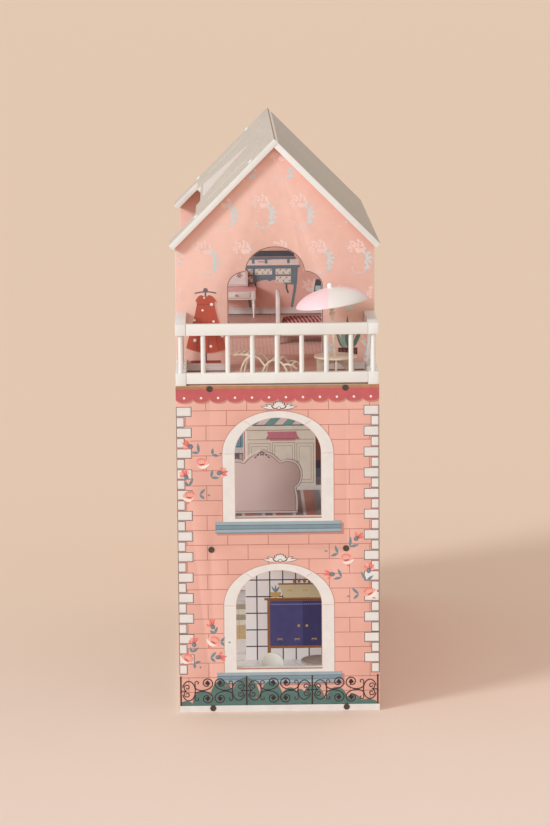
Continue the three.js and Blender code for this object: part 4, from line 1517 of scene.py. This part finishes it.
# %% [markdown]
# A pale triangle like a dormer's gable is painted on the left slope, between pairs of thin lines. The
# ridge shows a line of raw board.

# %% Roof print and ridge
def roof_print():
    roof = Print("roof_left_print", (0, 0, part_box("roof_left_panel")[1].z / MM), (0, -1, 0),
                 (ROOT_HALF, 0, ROOT_HALF))
    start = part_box("roof_left_panel")[0].y / MM

    def on_slope(points):
        """Points as (distance along the roof, distance down the slope)."""
        return [(-(start + along), -down) for along, down in points]

    centre = 325
    triangles = ((98, 152, 50, "white"), (93, 150, 54, "roof_pink"), (62, 146, 80, "roof_pale"))
    for coat, (half, foot, top, tint) in enumerate(triangles, start=1):
        roof.shape(on_slope([(centre - half, foot), (centre + half, foot), (centre, top)]), tint, coat)
    for along in (113, 117, 534, 538):
        roof.stroke(on_slope([(along, 60), (along, 143)]), 1.6, "white", 2)
    return roof.done()


mix_inks(roof_pale=(214, 200, 186, 0.06), roof_pink=(222, 190, 178, 0.06))
roof_print()


def ridge_line():
    """The left panel's cut edge shows at the ridge: raw board beside its white paint."""
    low, high = [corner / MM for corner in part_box("roof_left_panel")]
    edge = Print("ridge_raw_line", (0, 0, high.z), (0, 1, 0), (-ROOT_HALF, 0, ROOT_HALF))
    edge.block(low.y + 0.5, -3.6, high.y - 0.5, -0.5, RAW_BOARD, 1)
    return edge.done()


ridge_line()

# %% [markdown]
# The furniture is loose and light. The balcony pieces are pale varnished wood, so their finish is a
# stretched noise for the grain, with darker end grain left to chance. Turned pieces are spun again
# from finer profiles than the CAD model's, and take the CAD piece's exact place.

# %% Wood finishes and two helpers
def wood(name, light, dark, grain=(0.5, 0.05, 0.05), roughness=0.4):
    finish = Finish(name, roughness, {"Coat Weight": 0.15})
    streak = finish.ramp(finish.noise(1.2, 5, finish.stretched(*grain)), 0.32, 0.68)
    ring = finish.ramp(finish.noise(9, 2, finish.stretched(1, 0.25, 0.25)), 0.35, 0.65)
    colour = finish.mix(streak, dark, light)
    finish.paint(finish.mix(ring * 0.35, colour, dark))
    finish.rough(streak * 0.12 + (roughness - 0.06))
    return finish.emboss(streak, 0.02).material


def settled(mesh, place, turn=None):
    """Moves a template's mesh to its place in millimetres, after a turn."""
    move = Matrix.Translation(Vector(place) * MM) @ (turn or Matrix.Identity(4))
    bmesh.ops.transform(mesh, matrix=move, verts=mesh.verts)
    return mesh


def tint_where(piece, material, test):
    """Gives a material to the faces whose centre (in mm) and normal pass the test."""
    piece.data.materials.append(material)
    slot = len(piece.data.materials) - 1
    count = 0
    for face in piece.data.polygons:
        if test(face.center / MM, face.normal):
            face.material_index = slot
            count += 1
    print(piece.name, "has", count, "faces in", material.name)
    return piece


PALE_WOOD = wood("pale_varnished_wood", tone(246, 224, 204), tone(230, 198, 170), (0.06, 0.5, 0.5))
GREY_BROWN_WOOD = wood("grey_brown_wood", tone(186, 166, 154), tone(150, 130, 120), (0.06, 0.5, 0.5))
PIN_HOLE_SHADE = ink("pin_hole_shadow", tone(84, 56, 44))

for node in ("garden_table_top", "garden_table_legs", "garden_lounger"):
    eased(node, PALE_WOOD, ease=0.5, segments=3, corner=28)

# %% [markdown]
# The parasol's pole leans a little in the table's hole and its canopy leans further. Both are
# turned: one profile spun about an axis. The canopy is one thin dome painted in four parts, with a hub
# under it and a white knob on top, so each face picks its colour by its height and its angle. The
# right-hand seam leans further forward than the others.

# %% Parasol
POLE_LEAN = math.radians(-4)
CANOPY_LEAN = math.radians(-4.5)
RIM, RISE, CANOPY_SKIN = 54.5, 23, 1.2
DOME_POWER = 1.3
CANOPY_SEAT, CANOPY_PIVOT = 81.5, 17.5
GORE_TURN, RIGHT_SEAM = 0.16, 2.4
pole_foot = middle("garden_table_top")
pole_foot.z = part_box("garden_table_top")[0].z / MM + 0.3
pole_turn = Matrix.Rotation(POLE_LEAN, 4, "Y")

pole = lathe(
    [(0, 0), (2.2, 0), (2.4, 0.3), (2.4, 61), (2.9, 62.4), (4, 63.6), (4.4, 65.2), (4.2, 66.8), (3.1, 68.2),
     (2.8, 69.2),
     (3.1, 70.6), (4.1, 72.2), (4.2, 73.6), (3.2, 75.2), (2.9, 76.2), (3.6, 77.4), (4.4, 78.4), (4.6, 79.4),
     (4.6, 86.6), (4.3, 87.6), (3.4, 88.6), (3.2, 90.4), (3.3, 92), (2, 93), (2, 101), (0, 101)], sides=40)
pole_piece = finish_mesh("parasol_pole_turned", settled(pole, pole_foot, pole_turn), [PALE_WOOD])
stand_for(pole_piece, ["parasol_pole"], "parasol")

# The pin hole is a dark disc set into the pole's surface: painted shade where the hole is.
pin = lathe([(0, -1), (1.05, -1), (1.05, 0.05), (0, 0.05)], sides=16)
settled(pin, (0, -4.6, 83), Matrix.Rotation(math.pi / 2, 4, "X"))
pin_piece = finish_mesh("parasol_pin_hole", settled(pin, pole_foot, pole_turn), [PIN_HOLE_SHADE])
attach(pin_piece, "parasol")


def plastic(name, colour):
    finish = Finish(name, 0.5, {"Coat Weight": 0.1})
    finish.paint(finish.coat(colour, 0.02, 30))
    return finish.emboss(finish.noise(0.9, 3), 0.015).material


CANOPY_PINK = plastic("canopy_pink", tone(246, 202, 202))
CANOPY_CREAM = plastic("canopy_cream", tone(234, 218, 208))
CANOPY_KNOB = plastic("canopy_white_knob", tone(246, 238, 232))


def dome(skin, rounds):
    """The dome's profile from rim to crown, a skin's thickness inside the outer one."""
    angles = [i / rounds * 0.95 * math.pi / 2 for i in range(rounds + 1)]
    return [((RIM - skin * 0.6) * math.cos(a), (RISE - skin) * math.sin(a) ** DOME_POWER) for a in angles]


canopy = lathe([(0, 20.2), (2.8, 20.2), (2.8, 14.7), (3, 14.5), (4, 14.5), (4.2, 14.7), (4.4, RISE - 2.2)]
               + dome(CANOPY_SKIN, 18)[::-1] + [(RIM - 0.2, -0.15)] + dome(0, 18)
               + [(3.4, RISE + 0.2), (3.2, RISE + 0.8), (3.7, RISE + 1.8), (3.8, RISE + 3.2),
                  (3.4, RISE + 4.8), (2.5, RISE + 6.1),
                  (1.3, RISE + 6.8), (0, RISE + 7)], sides=96)
for quarter in canopy.faces:
    centre = quarter.calc_center_median() / MM
    radius = math.hypot(centre.x, centre.y)
    outside = radius > 4.4 and quarter.normal.z > 0.02
    seam_x = centre.x - GORE_TURN * centre.y
    seam_y = centre.y + GORE_TURN * centre.x * (RIGHT_SEAM if centre.x > 0 else 1)
    pink = (seam_x < 0) == (seam_y < 0)
    quarter.material_index = 2 if radius < 4.6 else (0 if pink and outside else 1)
canopy_turn = pole_turn @ Matrix.Translation(Vector((CANOPY_PIVOT * math.sin(-CANOPY_LEAN), 0,
                                                     CANOPY_SEAT)) * MM)
canopy_piece = finish_mesh("parasol_canopy_dome",
                           settled(canopy, pole_foot, canopy_turn @ Matrix.Rotation(CANOPY_LEAN, 4, "Y")),
                           [CANOPY_PINK, CANOPY_CREAM, CANOPY_KNOB], 40)
stand_for(canopy_piece, ["parasol_canopy"], "parasol")
print("parasol canopy:", len(canopy_piece.data.polygons), "faces")

# %% [markdown]
# The dressing table is cream with a pink top and a pink knob. Its mirror is an arched board with a
# printed glass. The bed's end boards carry a printed panel with a rose on both sides.

# %% Dressing table, mirror and bed
CREAM_PAINT = paint("cream_furniture_paint", tone(232, 212, 200))
ROSE_PAINT = paint("rose_furniture_paint", tone(228, 160, 158))
mix_inks(glass=(236, 216, 204, 0.06, 0.2))

table_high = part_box("vanity_table")[1] / MM
TOP_BOARD, KNOB_REACH = 3.4, 3.9
vanity = eased("vanity_table", CREAM_PAINT, ease=0.6, segments=3)
tint_where(vanity, ROSE_PAINT, lambda centre, normal: centre.z > table_high.z - TOP_BOARD)
drawer_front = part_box("vanity_drawer")[0].y / MM
drawer = eased("vanity_drawer", CREAM_PAINT, ease=0.4)
tint_where(drawer, ROSE_PAINT, lambda centre, normal: centre.y < drawer_front + KNOB_REACH)
eased("vanity_mirror", CREAM_PAINT, ease=0.6, segments=3)


def arched(half, foot, spring, rise, middle_x=0, inset=0.0, steps=16):
    """A panel outline: straight sides and an elliptical top."""
    half -= inset
    return [(middle_x - half, foot + inset), (middle_x + half, foot + inset)] + arc(
        middle_x, spring, half, rise - inset, 0, 180, steps)


def rose_motif(art, x, y, size, coat):
    for i in range(5):
        art.shape(leaf(x, y, 4.2 * size, 3.0 * size, 72 * i + 18, steps=4), "pink", coat)
    art.shape(ellipse(x, y, 1.3 * size, 1.3 * size, 10), "petal", coat + 1)
    for direction in (200, 340, 250, 290):
        art.shape(leaf(x, y - size, 6.4 * size, 2.4 * size, direction), "leaf", coat - 1)


def mirror_print():
    low, high = [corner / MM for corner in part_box("vanity_mirror")]
    centre = (low.x + high.x) / 2
    glass = Print("vanity_mirror_print", (0, low.y, 0), (1, 0, 0))

    def board(inset):
        return arched(21.5, low.z, low.z + 21.7, 12, centre, inset)

    glass.ring(board(2.6), board(3.4), "pink", 1)
    glass.shape(board(3.4), "glass", 1)
    rose_motif(glass, centre + 7, low.z + 21, 1.0, 4)
    return glass.done("vanity")


mirror_print()
for node, rise in (("bed_headboard", 22), ("bed_footboard", 12)):
    eased(node, WHITE_PAINT, ease=1.1, segments=3)
    low, high = [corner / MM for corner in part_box(node)]
    for side, x, facing in (("inner", high.x, 1), ("outer", low.x, -1)):
        panel = Print(f"{node}_{side}_print", (x, 0, 0), (0, facing, 0))
        centre = facing * (low.y + high.y) / 2
        half = (high.y - low.y) / 2
        rims = [arched(half, low.z + 10, high.z - rise, rise, centre, inset) for inset in (4, 5)]
        panel.shape(rims[0], "sprig", 1)
        panel.ring(*rims, "pink", 2)
        rose_motif(panel, centre, (low.z + high.z) / 2 + 6, 1.7, 5)
        panel.done("bed")
eased("bed_base", WHITE_PAINT, ease=0.6)

# %% [markdown]
# The mattress is a small pad of burgundy cloth with fat slanting ribs. Cloth simulation gives it the
# crown of a stuffed cushion: a remeshed block is blown up from inside. The ribs are sewn after that,
# by moving each point along its normal with the height of a wave that runs round the pad.

# %% Mattress
RIB_PITCH = 6.4
RIB_LEAN = 0.55
RIB_DRIFT = 0.12
RIB_HEIGHT = 0.75
mattress_low, mattress_high = [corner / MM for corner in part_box("mattress")]


def rib_wave(point):
    return math.sin(2 * math.pi * (point.x + RIB_LEAN * point.z + RIB_DRIFT * point.y) / RIB_PITCH)


def ribbed_cloth():
    finish = Finish("burgundy_ribbed_cloth", 0.95, {"Sheen Weight": 0.35, "Sheen Roughness": 0.5})
    x, y, z = finish.axes()
    wave = ((x + z * RIB_LEAN + y * RIB_DRIFT) * (2 * math.pi / RIB_PITCH)).math("SINE")
    # Painted light and shade: the wave that raises the ribs paints each crest pale and each hollow between
    # ribs dark.
    rib_light_and_shade = finish.ramp(wave, -0.75, 0.55)
    fibre = finish.ramp(finish.noise(0.9, 4), 0.3, 0.7)
    colour = finish.mix(rib_light_and_shade, tone(112, 34, 42), tone(232, 142, 132))
    finish.paint(finish.mix(fibre * 0.15, colour, tone(146, 62, 66)))
    weave = (x * (2 * math.pi / 0.9)).math("SINE") * (z * (2 * math.pi / 0.9)).math("SINE")
    return finish.emboss(weave + fibre, 0.12).material


def blown_up(piece, pressure=4, frames=20, cap=2.2):
    """Cloth simulation with air inside; no point moves further than the cap, in millimetres."""
    before = [v.co.copy() for v in piece.data.vertices]
    cloth = piece.modifiers.new("cloth", "CLOTH")
    cloth.settings.use_pressure = True
    cloth.settings.uniform_pressure_force = pressure
    cloth.settings.effector_weights.gravity = 0
    scene = bpy.context.scene
    for number in range(1, frames + 1):
        scene.frame_set(number)
    graph = bpy.context.evaluated_depsgraph_get()
    after = [v.co.copy() for v in piece.evaluated_get(graph).data.vertices]
    piece.modifiers.clear()
    scene.frame_set(1)
    for vertex, start, end in zip(piece.data.vertices, before, after):
        way = end - start
        if way.length > cap * MM:
            way *= cap * MM / way.length
        vertex.co = start + way


def applied(piece):
    """The piece's modifiers become its mesh."""
    graph = bpy.context.evaluated_depsgraph_get()
    mesh = bpy.data.meshes.new_from_object(piece.evaluated_get(graph), depsgraph=graph)
    piece.modifiers.clear()
    piece.data = mesh


def make_mattress():
    inset = 2.4
    block = bmesh.new()
    bmesh.ops.create_cube(block, size=1)
    size = mattress_high - mattress_low - Vector((2 * inset, 2 * inset, 1.6))
    centre = (mattress_low + mattress_high) / 2
    bmesh.ops.scale(block, vec=size * MM, verts=block.verts)
    bmesh.ops.translate(block, vec=centre * MM, verts=block.verts)
    bmesh.ops.bevel(block, geom=block.edges[:], offset=3.6 * MM, segments=3, profile=0.5, affect="EDGES")
    pad = finish_mesh("mattress_ribbed_pad", block, [ribbed_cloth()], 80)
    remesh = pad.modifiers.new("even_mesh", "REMESH")
    remesh.mode = "VOXEL"
    remesh.voxel_size = 3.0 * MM
    applied(pad)
    blown_up(pad)
    finer = pad.modifiers.new("finer", "SUBSURF")
    finer.levels = finer.render_levels = 2
    applied(pad)
    normals = [v.normal.copy() for v in pad.data.vertices]
    for vertex, normal in zip(pad.data.vertices, normals):
        vertex.co += normal * (rib_wave(vertex.co / MM) * RIB_HEIGHT) * MM
        vertex.co.z = max(vertex.co.z, (mattress_low.z + 0.1) * MM)
    pad.data.shade_smooth()
    stand_for(pad, ["mattress"], "bed")
    print("mattress:", len(pad.data.polygons), "faces, size", [round(v * 1000) for v in pad.dimensions])


make_mattress()

# %% [markdown]
# The sofa's back is a mauve board with a routed rim: a pale band of painted highlight and a darker groove
# follow its outline a few millimetres in. Its mauve carries painted light, paler towards the open side. The
# outline is read from the CAD board's own front face, so the line always fits it.

# %% Sofa, chair and dining table
def mauve_with_painted_light():
    """Mauve paint with painted light: paler towards the open side, where the light comes in, and darker away
    from it.
    """
    finish = Finish("mauve_paint", 0.42)
    across = finish.ramp(finish.axes()[0], -30, 40)
    finish.paint(finish.mix(across, tone(226, 192, 182), tone(190, 152, 142)))
    return finish.emboss(finish.noise(1.6, 3), 0.03).material


# Painted light: the sofa back's mauve is graded paler towards the open side.
MAUVE = mauve_with_painted_light()
MAUVE_SEAT = paint("mauve_seat_paint", tone(196, 162, 152), 0.05)
mix_inks(routed=(214, 196, 186), groove=(138, 106, 98), crest=(208, 184, 174))


def front_outline(node):
    """The outer loop of a board's -Y face, as (x, z) points in millimetres."""
    mesh = bmesh.new()
    mesh.from_mesh(frame["nodes"][node].data)
    bmesh.ops.remove_doubles(mesh, verts=mesh.verts, dist=1e-6)
    faces = [f for f in mesh.faces if f.normal.y < -0.99]
    edges = [e for e in mesh.edges if sum(f in faces for f in e.link_faces) == 1]
    start = edges[0].verts[0]
    loop, here, last = [start], edges[0].verts[1], edges[0]
    while here is not start:
        loop.append(here)
        last = next(e for e in edges if here in e.verts and e is not last)
        here = last.other_vert(here)
    points = [(v.co.x / MM, v.co.z / MM) for v in loop]
    mesh.free()
    return points if area(points) > 0 else points[::-1]


def inset_outline(points, distance):
    """An outline moved inwards, along the mean of its two edges' normals at each point."""
    made = []
    for before, here, after in zip(points[-1:] + points[:-1], points, points[1:] + points[:1]):
        run = Vector((after[0] - before[0], after[1] - before[1])).normalized()
        made.append((here[0] - run.y * distance, here[1] + run.x * distance))
    return made


def sofa_print():
    rim = front_outline("sofa_back")
    face = Print("sofa_back_rim", (0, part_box("sofa_back")[0].y / MM, 0), (1, 0, 0))
    face.ring(inset_outline(rim, 3.6), inset_outline(rim, 4.3), "groove", 1)
    # The pale band is painted highlight along the lip of the routed rim; the darker groove is a line just
    # inside it.
    face.ring(inset_outline(rim, 1.0), inset_outline(rim, 3.2), "routed", 1)
    centre = middle("sofa_back")
    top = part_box("sofa_back")[1].z / MM
    for i in range(5):
        face.shape(leaf(centre.x, top - 6.5, 4.6, 3.2, 72 * i + 18), "groove", 3)
    face.shape(ellipse(centre.x, top - 6.5, 1.4, 1.4), "crest", 4)
    for sign in (-1, 1):
        for reach, drop in ((4, 8), (8, 11.5)):
            face.shape(leaf(centre.x + sign * reach, top - drop, 5.4, 2.6, 90 - sign * 118), "groove", 2)
    return face.done("sofa")


eased("sofa_back", MAUVE, ease=1.0, segments=3, corner=40)
sofa_print()
eased("sofa_seat", MAUVE_SEAT, ease=1.6, segments=4)
CHAIR_PAINT = paint("chair_white_paint", tone(250, 242, 230))
eased("round_back_chair", CHAIR_PAINT, ease=1.2, segments=4, corner=40)

table_spot = middle("dining_table")
table_spot.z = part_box("dining_table")[0].z / MM
dining = lathe(
    [(0, 0), (17.6, 0), (18, 0.4), (18, 2.4), (17.2, 3.2), (10, 4.6), (6.4, 6.2), (4.8, 8.6), (4.1, 12),
     (3.9, 20),
     (4.3, 30), (4.6, 38), (6.2, 42.4), (9, 44.8), (12, 45.4), (30.4, 45.5), (31, 46.1), (31, 48.4),
     (30.4, 49), (0, 49)],
    sides=72)
dining_piece = finish_mesh("dining_table_turned", settled(dining, table_spot), [GREY_BROWN_WOOD])
stand_for(dining_piece, ["dining_table"], "dining_table")

# %% [markdown]
# The house stands on one pale floor, painted darker and warmer towards the back as painted shade.
# A large sun-like key light comes from the upper left, wide enough to give a soft shadow to the right
# and behind. The world adds warm fill from all sides, and the floor fades into it.

# %% Floor, light and world
def make_floor():
    finish = Finish("pale_floor", 0.75)
    x, y, z = finish.axes()
    # Painted shade: the floor is darker and warmer towards the back, where the studio's light falls off.
    depth = finish.ramp(y, -900, 700)
    finish.paint(finish.mix(depth, FLOOR_NEAR, FLOOR_FAR))
    finish.emboss(finish.noise(3, 3), 0.01)
    reach = 60
    data = bpy.data.meshes.new("floor")
    data.from_pydata([(-reach, -reach, 0), (reach, -reach, 0), (reach, reach, 0), (-reach, reach, 0)], [],
                     [(0, 1, 2, 3)])
    data.materials.append(finish.material)
    floor = bpy.data.objects.new("floor", data)
    bpy.context.scene.collection.objects.link(floor)


def make_sun(name, aim, power, spread, colour):
    sun = bpy.data.lights.new(name, "SUN")
    sun.energy = power
    sun.angle = math.radians(spread)
    sun.color = colour
    lamp = bpy.data.objects.new(name, sun)
    lamp.rotation_mode = "QUATERNION"
    lamp.rotation_quaternion = Vector(aim).to_track_quat("-Z", "Y")
    bpy.context.scene.collection.objects.link(lamp)


FLOOR_NEAR, FLOOR_FAR = tone(245, 213, 195), tone(239, 202, 175)
WORLD_COLOUR, WORLD_STRENGTH = (1.0, 0.94, 0.88, 1), 0.70
make_floor()
make_sun("key", aim=(0.76, 0.52, -0.38), power=1.9, spread=16, colour=(0.87, 0.94, 1.0))
make_sun("front_fill", aim=(0.35, 0.80, -0.48), power=0.15, spread=55, colour=(1.0, 1.0, 1.0))
world = bpy.data.worlds.new("studio")
world.use_nodes = True
world.node_tree.nodes["Background"].inputs["Color"].default_value = WORLD_COLOUR
world.node_tree.nodes["Background"].inputs["Strength"].default_value = WORLD_STRENGTH
bpy.context.scene.world = world
bpy.context.scene.view_settings.view_transform = "Standard"
